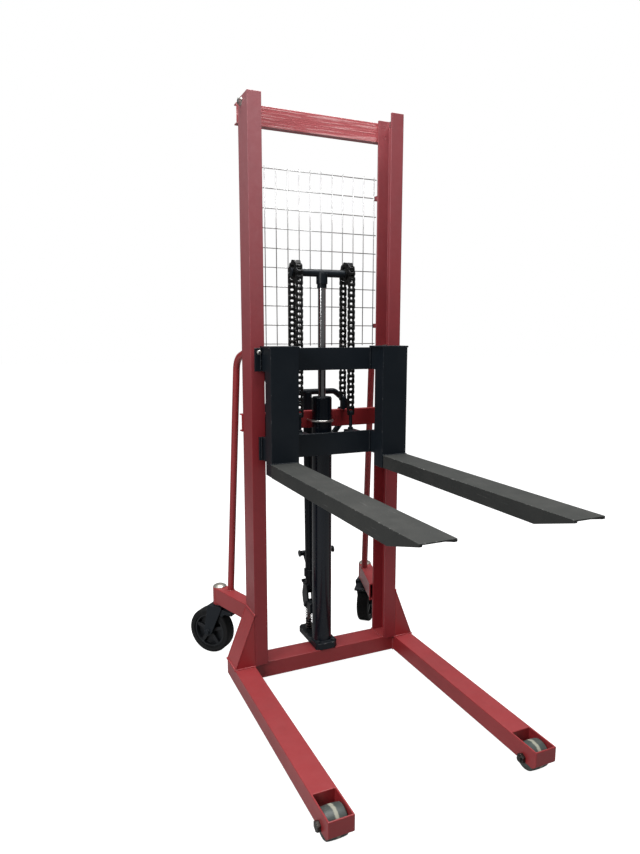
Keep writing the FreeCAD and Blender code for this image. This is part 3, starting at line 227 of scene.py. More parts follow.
class Effects:
    """Shader groups that more than one finish uses."""

    def __init__(self) -> None:
        """Builds each group once."""
        self.wear = self._edge_wear()
        self.grime = self._grime()
        self.scratches = self._scratches()
        self.dust = self._settled_dust()
        self.skin = self._paint_skin()

    @staticmethod
    def _edge_wear() -> bpy.types.NodeTree:
        """Worn patches along bevelled edges, broken up by noise."""
        group = Group("edge_wear", "ShaderNodeTree",
                      {"Vector": (VECTOR, None), "Edge": (FLOAT, 0.0), "Scale": (FLOAT, 60.0),
                       "Amount": (FLOAT, 0.4)}, {"Mask": FLOAT})
        patches = group.noise(group.source["Vector"], group.source["Scale"], 6.0, 0.7)
        start = group.math("SUBTRACT", 0.92, group.source["Amount"])
        broken = group.ramp(patches, start, group.math("ADD", start, 0.08))
        group.put(Mask=group.math("MULTIPLY", broken, group.source["Edge"], clamp=True))
        return group.tree

    @staticmethod
    def _grime() -> bpy.types.NodeTree:
        """Cloudy soiling at two sizes."""
        group = Group("grime", "ShaderNodeTree",
                      {"Vector": (VECTOR, None), "Scale": (FLOAT, 6.0), "Amount": (FLOAT, 0.5)},
                      {"Mask": FLOAT})
        clouds = group.noise(group.source["Vector"], group.source["Scale"], 5.0, 0.6)
        fine = group.noise(group.source["Vector"], group.math("MULTIPLY", group.source["Scale"], 9.0), 4.0)
        both = group.math("MULTIPLY", group.ramp(clouds, 0.35, 0.75), group.math("ADD", fine, 0.35))
        group.put(Mask=group.math("MULTIPLY", both, group.source["Amount"], clamp=True))
        return group.tree

    @staticmethod
    def _scratches() -> bpy.types.NodeTree:
        """Fine scratches drawn out along the vector's least scaled axis."""
        group = Group("scratches", "ShaderNodeTree",
                      {"Vector": (VECTOR, None), "Stretch": (VECTOR, (300.0, 6.0, 300.0)),
                       "Amount": (FLOAT, 0.3)}, {"Mask": FLOAT})
        drawn = group.add("ShaderNodeVectorMath", {0: group.source["Vector"], 1: group.source["Stretch"]},
                          operation="MULTIPLY")
        lines = group.noise(drawn, 1.0, 4.0, 0.7)
        areas = group.noise(group.source["Vector"], 7.0, 3.0)
        start = group.math("SUBTRACT", 0.78, group.math("MULTIPLY", group.source["Amount"], 0.3))
        thin = group.ramp(lines, start, group.math("ADD", start, 0.06))
        group.put(Mask=group.math("MULTIPLY", thin, group.ramp(areas, 0.4, 0.6), clamp=True))
        return group.tree

    @staticmethod
    def _settled_dust() -> bpy.types.NodeTree:
        """Dust on faces that look up."""
        group = Group("settled_dust", "ShaderNodeTree",
                      {"Vector": (VECTOR, None), "Normal": (VECTOR, None), "Amount": (FLOAT, 0.3)},
                      {"Mask": FLOAT})
        up = group.add("ShaderNodeSeparateXYZ", {0: group.source["Normal"]}).outputs["Z"]
        level = group.ramp(up, 0.6, 1.0)
        patches = group.math("ADD", group.noise(group.source["Vector"], 22.0, 6.0, 0.65), 0.25)
        amount = group.math("MULTIPLY", patches, group.source["Amount"])
        group.put(Mask=group.math("MULTIPLY", level, amount, clamp=True))
        return group.tree

    @staticmethod
    def _paint_skin() -> bpy.types.NodeTree:
        """Height of a sprayed surface: orange peel with a slow ripple and a few specks."""
        group = Group("paint_skin", "ShaderNodeTree",
                      {"Vector": (VECTOR, None), "Scale": (FLOAT, 500.0), "Ripple": (FLOAT, 0.5)},
                      {"Height": FLOAT})
        peel = group.noise(group.source["Vector"], group.source["Scale"], 2.0)
        slow = group.noise(group.source["Vector"], group.math("MULTIPLY", group.source["Scale"], 0.06), 2.0)
        specks = group.add("ShaderNodeTexVoronoi", {"Vector": group.source["Vector"], "Scale": 140.0})
        speck = group.math("SUBTRACT", 1.0, group.ramp(specks.outputs["Distance"], 0.03, 0.09))
        rippled = group.math("MULTIPLY_ADD", slow, group.source["Ripple"], peel)
        group.put(Height=group.math("MULTIPLY_ADD", speck, 0.5, rippled))
        return group.tree


EFFECTS = Effects()


# Finishes --------------------------------------------------------------------------------
@dataclass(frozen=True)
class Finish:
    """A surface finish. Scales are in features per metre, depths in metres."""

    name: str
    colour: Colour
    second_colour: Colour
    roughness: float = 0.4
    roughness_spread: float = 0.15
    metallic: float = 0.0
    specular: float = 0.5
    coat: float = 0.0
    coat_roughness: float = 0.1
    grime: float = 0.5
    grime_scale: float = 6.0
    bump_scale: float = 500.0
    bump_depth: float = 0.00006
    ripple: float = 0.5

    def material(self) -> bpy.types.Material:
        """The finish as a material, made once.

        Returns:
            The material.
        """
        label = "finished_" + self.name
        made = bpy.data.materials.get(label)
        if made is None:
            made = bpy.data.materials.new(label)
            made.use_nodes = True
            graph = Graph(made.node_tree)
            made.node_tree.nodes.clear()
            shader = graph.add("ShaderNodeBsdfPrincipled", {
                "Metallic": self.metallic, "Specular IOR Level": self.specular,
                "Coat Weight": self.coat, "Coat Roughness": self.coat_roughness})
            graph.add("ShaderNodeOutputMaterial", {"Surface": shader})
            self.wire(graph, shader)
            made.diffuse_color = (*self.colour, 1.0)
        return made

    def place(self, graph: Graph) -> bpy.types.NodeSocket:
        """Where patterns are read: the piece's own place in the frame."""
        return graph.add("ShaderNodeTexCoord").outputs["Object"]

    @staticmethod
    def _grouped(graph: Graph, tree: bpy.types.NodeTree, inputs: dict) -> bpy.types.NodeSocket:
        """Adds a group node and feeds it."""
        node = graph.add("ShaderNodeGroup", node_tree=tree)
        for key, value in inputs.items():
            graph.feed(node.inputs[key], value)
        return node.outputs[0]

    def base(self, graph: Graph, vector: object) -> tuple[object, object]:
        """Colour with soiling, and the soiling's mask."""
        soil = self._grouped(graph, EFFECTS.grime, {"Vector": vector, "Scale": self.grime_scale,
                                                    "Amount": self.grime})
        return graph.mix(soil, self.colour, self.second_colour), soil

    def skin(self, graph: Graph, vector: object) -> bpy.types.NodeSocket:
        """Height of the sprayed or moulded skin."""
        return self._grouped(graph, EFFECTS.skin, {"Vector": vector, "Scale": self.bump_scale,
                                                   "Ripple": self.ripple})

    def finish_up(self, graph: Graph, shader: bpy.types.Node, colour: object, rough: object,
                  height: object) -> None:
        """Feeds the shader's colour, roughness and bump.

        Args:
            graph: the material's nodes.
            shader: the Principled node.
            colour: the surface colour.
            rough: mask between 0 and 1 that raises the roughness.
            height: height between about 0 and 1.
        """
        graph.feed(shader.inputs["Base Color"], colour)
        graph.feed(shader.inputs["Roughness"],
                   graph.math("MULTIPLY_ADD", rough, self.roughness_spread, self.roughness))
        bump = graph.add("ShaderNodeBump", {"Height": height, "Distance": self.bump_depth,
                                            "Strength": 1.0})
        graph.feed(shader.inputs["Normal"], bump)

    def wire(self, graph: Graph, shader: bpy.types.Node) -> None:
        """Wires the finish: soiled colour over a sprayed or moulded skin."""
        vector = self.place(graph)
        colour, soil = self.base(graph, vector)
        height = self.skin(graph, vector)
        self.finish_up(graph, shader, colour, soil, height)


@dataclass(frozen=True)
class Paint(Finish):
    """Sprayed paint with bare spots on its edges, scratches, dust and a painted pinkish highlight on its upper
    parts.
    """

    chip: Colour = (0.2, 0.19, 0.18)
    wear: float = 0.42
    wear_scale: float = 70.0
    scratch: float = 0.15
    scratch_colour: Colour = (0.3, 0.1, 0.1)
    scratch_stretch: Point = (260.0, 260.0, 12.0)
    dust: float = 0.2
    dust_colour: Colour = (0.45, 0.36, 0.33)
    # painted highlight: a pinkish sheen mixed into the colour, stronger higher up, standing in for reflected light
    painted_sheen: float = 0.0
    painted_sheen_colour: Colour = (0.6, 0.35, 0.38)
    painted_sheen_low: float = 1.0
    painted_sheen_high: float = 2.0

    def wire(self, graph: Graph, shader: bpy.types.Node) -> None:
        """Wires the paint's layers from the coat outwards."""
        vector = self.place(graph)
        colour, soil = self.base(graph, vector)
        # painted highlight: the colour turns lighter and pinker the higher the surface stands, broken up by noise
        if self.painted_sheen > 0.0:
            z = graph.add("ShaderNodeSeparateXYZ", {0: vector}).outputs["Z"]
            high = graph.ramp(z, self.painted_sheen_low, self.painted_sheen_high)
            cloud = graph.math("MULTIPLY_ADD", graph.noise(vector, 40.0, 6.0, 0.7), 0.8, 0.6)
            painted_sheen_mask = graph.math("MULTIPLY", high, graph.math("MULTIPLY", cloud, self.painted_sheen), clamp=True)
            colour = graph.mix(painted_sheen_mask, colour, self.painted_sheen_colour)
        marks = self._grouped(graph, EFFECTS.scratches, {"Vector": vector, "Amount": self.scratch,
                                                         "Stretch": self.scratch_stretch})
        colour = graph.mix(graph.math("MULTIPLY", marks, 0.6), colour, self.scratch_colour)
        normal = graph.add("ShaderNodeNewGeometry").outputs["Normal"]
        dust = self._grouped(graph, EFFECTS.dust, {"Vector": vector, "Normal": normal, "Amount": self.dust})
        colour = graph.mix(dust, colour, self.dust_colour)
        edge = graph.add("ShaderNodeAttribute", attribute_name=EDGE_ATTRIBUTE).outputs["Fac"]
        worn = self._grouped(graph, EFFECTS.wear, {"Vector": vector, "Edge": edge,
                                                   "Scale": self.wear_scale, "Amount": self.wear})
        colour = graph.mix(worn, colour, self.chip)
        cut = graph.math("ADD", worn, graph.math("MULTIPLY", marks, 0.5))
        height = graph.math("SUBTRACT", self.skin(graph, vector), cut)
        rough = graph.math("ADD", graph.math("MAXIMUM", soil, dust), graph.math("MULTIPLY", worn, 0.5))
        self.finish_up(graph, shader, colour, rough, height)


@dataclass(frozen=True)
class CreaseGlintPaint(Paint):
    """Paint under a tight clear wrap whose creases run along X, up to where the wrap ends, with painted highlights
    along the creases.
    """

    painted_glint_colour: Colour = (0.9, 0.55, 0.55)
    wrap_end: float = 0.2
    crease_stretch: Point = (5.0, 170.0, 170.0)
    ragged_by: float = 0.05
    end_fade: float = 0.012

    def wire(self, graph: Graph, shader: bpy.types.Node) -> None:
        """Wires painted highlights along the creases over the paint."""
        vector = self.place(graph)
        colour, soil = self.base(graph, vector)
        drawn = graph.add("ShaderNodeVectorMath", {0: vector, 1: self.crease_stretch},
                          operation="MULTIPLY")
        creases = graph.noise(drawn, 1.0, 6.0, 0.7)
        x = graph.add("ShaderNodeSeparateXYZ", {0: vector}).outputs["X"]
        ragged = graph.math("MULTIPLY_ADD", graph.noise(vector, 60.0), self.ragged_by, self.wrap_end)
        bare = graph.ramp(x, ragged, graph.math("ADD", ragged, self.end_fade))
        covered = graph.math("SUBTRACT", 1.0, bare)
        # painted highlight: bright glints along the wrap's creases are mixed into the colour
        sharp = graph.math("MULTIPLY", graph.ramp(creases, 0.5, 0.62), covered)
        colour = graph.mix(graph.math("MULTIPLY", sharp, 0.6), colour, self.painted_glint_colour)
        height = graph.math("MULTIPLY", creases, covered)
        self.finish_up(graph, shader, colour, soil, height)


@dataclass(frozen=True)
class BareMetal(Finish):
    """Bare or plated metal with tool marks drawn out along one axis."""

    grain: Point = (40.0, 40.0, 900.0)
    grain_weight: float = 0.6

    def wire(self, graph: Graph, shader: bpy.types.Node) -> None:
        """Wires tarnish and tool marks."""
        vector = self.place(graph)
        colour, soil = self.base(graph, vector)
        drawn = graph.add("ShaderNodeVectorMath", {0: vector, 1: self.grain}, operation="MULTIPLY")
        marks = graph.noise(drawn, 1.0, 5.0, 0.65)
        height = graph.math("MULTIPLY", marks, self.grain_weight)
        rough = graph.math("MAXIMUM", soil, graph.math("MULTIPLY", marks, 0.5))
        self.finish_up(graph, shader, colour, rough, height)


@dataclass(frozen=True)
class BandedRoller(Finish):
    """Moulded roller with a lighter worn band round its middle, about an axle along X."""

    centre_x: float = 0.0
    band_half: float = 0.007
    band_fade: float = 0.004
    band_wobble: float = 0.008
    band_colour: Colour = (0.35, 0.35, 0.28)

    def wire(self, graph: Graph, shader: bpy.types.Node) -> None:
        """Wires the band over the moulded skin."""
        vector = self.place(graph)
        colour, soil = self.base(graph, vector)
        x = graph.add("ShaderNodeSeparateXYZ", {0: vector}).outputs["X"]
        off = graph.math("ABSOLUTE", graph.math("SUBTRACT", graph.math("ABSOLUTE", x), self.centre_x))
        ragged = graph.math("MULTIPLY_ADD", graph.noise(vector, 90.0, 4.0), self.band_wobble, off)
        outside = graph.ramp(ragged, self.band_half, self.band_half + self.band_fade)
        band = graph.math("SUBTRACT", 1.0, outside)
        colour = graph.mix(band, colour, self.band_colour)
        height = self.skin(graph, vector)
        self.finish_up(graph, shader, colour, graph.math("MAXIMUM", soil, band), height)


@dataclass(frozen=True)
class GlowingFloor(Finish):
    """Pale floor that the eye sees lit from below, and that lights nothing by itself."""

    glow: float = 1.0

    def wire(self, graph: Graph, shader: bpy.types.Node) -> None:
        """Wires the glow over the plain floor."""
        super().wire(graph, shader)
        seen = graph.add("ShaderNodeLightPath").outputs["Is Camera Ray"]
        graph.feed(shader.inputs["Emission Color"], (1.0, 1.0, 1.0, 1.0))
        graph.feed(shader.inputs["Emission Strength"], graph.math("MULTIPLY", seen, self.glow))


RED = Paint("red_paint", (0.32, 0.024, 0.028), (0.23, 0.018, 0.021), roughness=0.4, coat=0.25,
            coat_roughness=0.22, grime=0.6, dust=0.14, dust_colour=(0.55, 0.22, 0.23), wear=0.26)
# uprights: painted pinkish highlight towards the top; the right upright gets half as much, a lit and a shaded copy
# of one paint
RED_LEFT = Paint("red_paint_left", (0.27, 0.021, 0.027), (0.19, 0.015, 0.02), roughness=0.38, coat=0.2,
                 coat_roughness=0.25, grime=0.6, painted_sheen=0.32, painted_sheen_low=0.8, painted_sheen_high=2.0, dust=0.1,
                 wear=0.24)
RED_RIGHT = replace(RED_LEFT, name="red_paint_right", painted_sheen=0.16)
# top beam paint with painted highlights along the creases of its clear wrap
RED_WRAPPED = CreaseGlintPaint("red_paint_wrapped", (0.5, 0.12, 0.13), (0.4, 0.08, 0.09), roughness=0.2,
                            coat=0.7, coat_roughness=0.06, bump_depth=0.0016, grime=0.3)
BLACK = Paint("black_paint", (0.007, 0.0105, 0.015), (0.013, 0.017, 0.021), roughness=0.4, specular=0.22,
              chip=(0.12, 0.12, 0.12), wear=0.36, scratch_colour=(0.06, 0.065, 0.07), dust=0.05,
              dust_colour=(0.2, 0.2, 0.19), coat=0.1, coat_roughness=0.2)
BARREL = Paint("cylinder_paint", (0.003, 0.006, 0.011), (0.006, 0.009, 0.014), roughness=0.24, specular=0.3,
               bump_depth=0.00001, chip=(0.1, 0.1, 0.1), wear=0.3, scratch_colour=(0.05, 0.055, 0.06),
               dust=0.03, dust_colour=(0.2, 0.2, 0.19), coat=0.3, coat_roughness=0.12)
FORK = Paint("fork_paint", (0.026, 0.028, 0.027), (0.05, 0.05, 0.047), roughness=0.52, specular=0.28,
             chip=(0.13, 0.13, 0.125), wear=0.36, scratch=0.5, scratch_colour=(0.14, 0.14, 0.135),
             scratch_stretch=(260.0, 9.0, 260.0), dust=0.07, dust_colour=(0.2, 0.2, 0.18), grime_scale=9.0)
ZINC = BareMetal("bright_zinc", (0.62, 0.61, 0.58), (0.4, 0.39, 0.36), roughness=0.28, metallic=1.0,
                 grime=0.6, grime_scale=60.0, grain=(300.0, 300.0, 300.0), bump_depth=0.00004)
CAP = BareMetal("cap_metal", (0.62, 0.59, 0.53), (0.45, 0.42, 0.37), roughness=0.36, metallic=0.85,
                grime=0.6, grime_scale=35.0, grain=(200.0, 200.0, 200.0), bump_depth=0.00005)
WIRE = BareMetal("galvanised_wire", (0.42, 0.42, 0.42), (0.3, 0.3, 0.3), roughness=0.42, metallic=0.9,
                 grime=0.7, grime_scale=30.0, grain=(500.0, 500.0, 60.0), bump_depth=0.00004)
CHROME = BareMetal("plated_rod", (0.62, 0.62, 0.63), (0.45, 0.45, 0.46), roughness=0.13, metallic=1.0,
                   grime=0.35, grime_scale=14.0, grain=(30.0, 30.0, 1500.0), bump_depth=0.000004)
CHAIN = BareMetal("oiled_chain", (0.03, 0.031, 0.033), (0.06, 0.056, 0.05), roughness=0.32, metallic=0.85,
                  grime=0.8, grime_scale=45.0, grain=(400.0, 400.0, 400.0), bump_depth=0.00008)
STEEL = BareMetal("machined_steel", (0.34, 0.33, 0.32), (0.2, 0.18, 0.16), roughness=0.3, metallic=1.0,
                  grime=0.6, grime_scale=30.0, grain=(900.0, 60.0, 60.0), bump_depth=0.00003)
DARK_STEEL = replace(STEEL, name="oiled_steel", colour=(0.08, 0.075, 0.07), second_colour=(0.05, 0.045, 0.04))
SPRING = BareMetal("spring_steel", (0.3, 0.29, 0.28), (0.16, 0.14, 0.12), roughness=0.3, metallic=1.0,
                   grime=0.6, grime_scale=60.0, grain=(400.0, 400.0, 400.0), bump_depth=0.00003)
RUBBER = Finish("black_rubber", (0.008, 0.009, 0.01), (0.016, 0.016, 0.016), roughness=0.55, specular=0.2,
                grime=0.7, grime_scale=18.0, bump_scale=900.0, bump_depth=0.0001)
HUB = Finish("moulded_hub", (0.01, 0.012, 0.015), (0.02, 0.021, 0.022), roughness=0.38, specular=0.35,
             grime=0.6, grime_scale=25.0, bump_scale=1400.0, bump_depth=0.00004)
TOE_CENTRE = sum(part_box("toe_roller_right"), Vector()).x / 2.0
TOE_ROLLER = BandedRoller("load_roller", (0.055, 0.07, 0.065), (0.1, 0.11, 0.1), roughness=0.42,
                          grime=0.8, grime_scale=40.0, bump_scale=700.0, bump_depth=0.0001,
                          centre_x=TOE_CENTRE)
FLOOR = GlowingFloor("pale_floor", (0.32, 0.32, 0.32), (0.3, 0.3, 0.3), roughness=0.9, specular=0.0,
                     grime=0.3, grime_scale=0.5, bump_scale=60.0, bump_depth=0.0002)


# Meshes ----------------------------------------------------------------------------------
def link_piece(name: str, mesh: bpy.types.Mesh) -> bpy.types.Object:
    """Puts a mesh in the scene as an object of its own.

    Args:
        name: the piece's name.
        mesh: its mesh, already in place.

    Returns:
        The object.
    """
    piece = bpy.data.objects.new(name, mesh)
    bpy.context.scene.collection.objects.link(piece)
    return piece


def corner_box(node: str, axis: int, low: bool, side: int = 0,
               depth: float = 0.6 * MM) -> tuple[Vector, Vector]:
    """Box of a node's vertices at its lowest or highest plane along one axis.

    Args:
        node: the CAD node.
        axis: 0, 1 or 2.
        low: the lowest plane, or else the highest.
        side: -1 or 1 to keep only the vertices on that side in X.
        depth: how near the plane a vertex counts.

    Returns:
        The lowest and highest corners.
    """
    points = np.array([v.co for v in frame["nodes"][node].data.vertices])
    if side:
        points = points[points[:, 0] * side > 0]
    plane = points[:, axis].min() if low else points[:, axis].max()
    near = points[np.abs(points[:, axis] - plane) < depth]
    return Vector(near.min(0)), Vector(near.max(0))


def merged(node: str) -> bmesh.types.BMesh:
    """A copy of a node's mesh with its doubled vertices merged."""
    bm = bmesh.new()
    bm.from_mesh(frame["nodes"][node].data)
    bmesh.ops.remove_doubles(bm, verts=bm.verts, dist=0.005 * MM)
    return bm


def settled(bm: bmesh.types.BMesh, name: str) -> bpy.types.Mesh:
    """Turns a bmesh into a mesh and frees it."""
    mesh = bpy.data.meshes.new(name)
    bm.to_mesh(mesh)
    bm.free()
    return mesh


def applied(piece: bpy.types.Object) -> bpy.types.Mesh:
    """The piece's mesh with its modifiers applied; the piece loses them."""
    depsgraph = bpy.context.evaluated_depsgraph_get()
    mesh = bpy.data.meshes.new_from_object(piece.evaluated_get(depsgraph), preserve_all_data_layers=True,
                                           depsgraph=depsgraph)
    piece.modifiers.clear()
    return mesh


def solids(node: str) -> list[tuple[Vector, Vector]]:
    """The box of each separate solid of a node.

    Args:
        node: the CAD node.

    Returns:
        Lowest and highest corners, one pair for each solid, in the mesh's own order.
    """
    bm = merged(node)
    left = set(bm.verts)
    boxes = []
    for start in bm.verts:
        if start not in left:
            continue
        left.remove(start)
        stack, found = [start], []
        while stack:
            vertex = stack.pop()
            found.append(vertex.co.copy())
            for edge in vertex.link_edges:
                other = edge.other_vert(vertex)
                if other in left:
                    left.remove(other)
                    stack.append(other)
        points = np.array(found)
        boxes.append((Vector(points.min(0)), Vector(points.max(0))))
    bm.free()
    return boxes


def smoothed(piece: bpy.types.Object) -> bpy.types.Object:
    """Smooth shading with normals that keep flat faces flat, applied to the mesh.

    Args:
        piece: the object to shade.

    Returns:
        The same object.
    """
    for polygon in piece.data.polygons:
        polygon.use_smooth = True
    modifier = piece.modifiers.new("weighted_normals", "WEIGHTED_NORMAL")
    modifier.keep_sharp = True
    modifier.weight = 50
    old = piece.data
    piece.data = applied(piece)
    bpy.data.meshes.remove(old)
    return piece


def bevelled(node: str, name: str, width: float, segments: int = 2) -> bpy.types.Object:
    """A copy of a CAD node with rounded edges, whose edge faces carry the wear attribute.

    Args:
        node: the CAD node.
        name: the new piece's name.
        width: how far the rounding reaches from each edge.
        segments: faces across the rounding.

    Returns:
        The new piece, in the node's place.
    """
    bm = merged(node)
    layer = bm.faces.layers.float.new(EDGE_ATTRIBUTE)
    bmesh.ops.dissolve_limit(bm, angle_limit=math.radians(0.5), verts=bm.verts, edges=bm.edges)
    sharp = [e for e in bm.edges if e.is_manifold and e.calc_face_angle(0.0) > math.radians(30.0)]
    rounded = bmesh.ops.bevel(bm, geom=sharp, offset=width, segments=segments, profile=0.5,
                              affect="EDGES", clamp_overlap=False)
    for face in rounded["faces"]:
        face[layer] = 1.0
    return smoothed(link_piece(name, settled(bm, name)))


def revolved(name: str, profile: list[tuple[float, float]], centre: Vector, axis: Vector,
             segments: int = 72) -> bpy.types.Object:
    """A closed profile turned about an axis.

    Args:
        name: the piece's name.
        profile: (distance along the axis, radius) points, closed back to the first.
        centre: the origin of the profile.
        axis: the direction of the axis.
        segments: steps round the axis.

    Returns:
        The turned piece.
    """
    bm = bmesh.new()
    turn = axis.to_track_quat("Z", "Y").to_matrix()
    rings = []
    for step in range(segments):
        angle = 2.0 * math.pi * step / segments
        ring = []
        for along, radius in profile:
            local = Vector((radius * math.cos(angle), radius * math.sin(angle), along))
            ring.append(bm.verts.new(centre + turn @ local))
        rings.append(ring)
    for k, ring in enumerate(rings):
        after = rings[(k + 1) % segments]
        for i in range(len(profile)):
            j = (i + 1) % len(profile)
            bm.faces.new((ring[i], ring[j], after[j], after[i]))
    bmesh.ops.recalc_face_normals(bm, faces=bm.faces)
    return smoothed(link_piece(name, settled(bm, name)))


def prism(bm: bmesh.types.BMesh, outline: list[tuple[float, float]], x0: float, x1: float) -> None:
    """Adds a closed prism along X to a mesh.

    Args:
        bm: the mesh.
        outline: (y, z) points, anticlockwise seen from +X.
        x0: its lower end.
        x1: its upper end.
    """
    low = [bm.verts.new((x0, y, z)) for y, z in outline]
    high = [bm.verts.new((x1, y, z)) for y, z in outline]
    bm.faces.new(low[::-1])
    bm.faces.new(high)
    for i in range(len(outline)):
        j = (i + 1) % len(outline)
        bm.faces.new((low[i], low[j], high[j], high[i]))


def round_outline(radius: float, centre_z: float, count: int) -> list[tuple[float, float]]:
    """A circle as (y, z) points, anticlockwise seen from +X."""
    angles = [2.0 * math.pi * k / count for k in range(count)]
    return [(radius * math.cos(angle), centre_z + radius * math.sin(angle)) for angle in angles]


def disc(bm: bmesh.types.BMesh, sides: int, low_radius: float, high_radius: float, base: float,
         depth: float) -> None:
    """Adds a capped disc or cone standing along Z to a mesh.

    Args:
        bm: the mesh.
        sides: sides round it.
        low_radius: radius at its base.
        high_radius: radius at its top.
        base: height of its base.
        depth: how far it reaches up from there.
    """
    bmesh.ops.create_cone(bm, cap_ends=True, segments=sides, radius1=low_radius, radius2=high_radius,
                          depth=depth, matrix=Matrix.Translation((0, 0, base + depth / 2.0)))


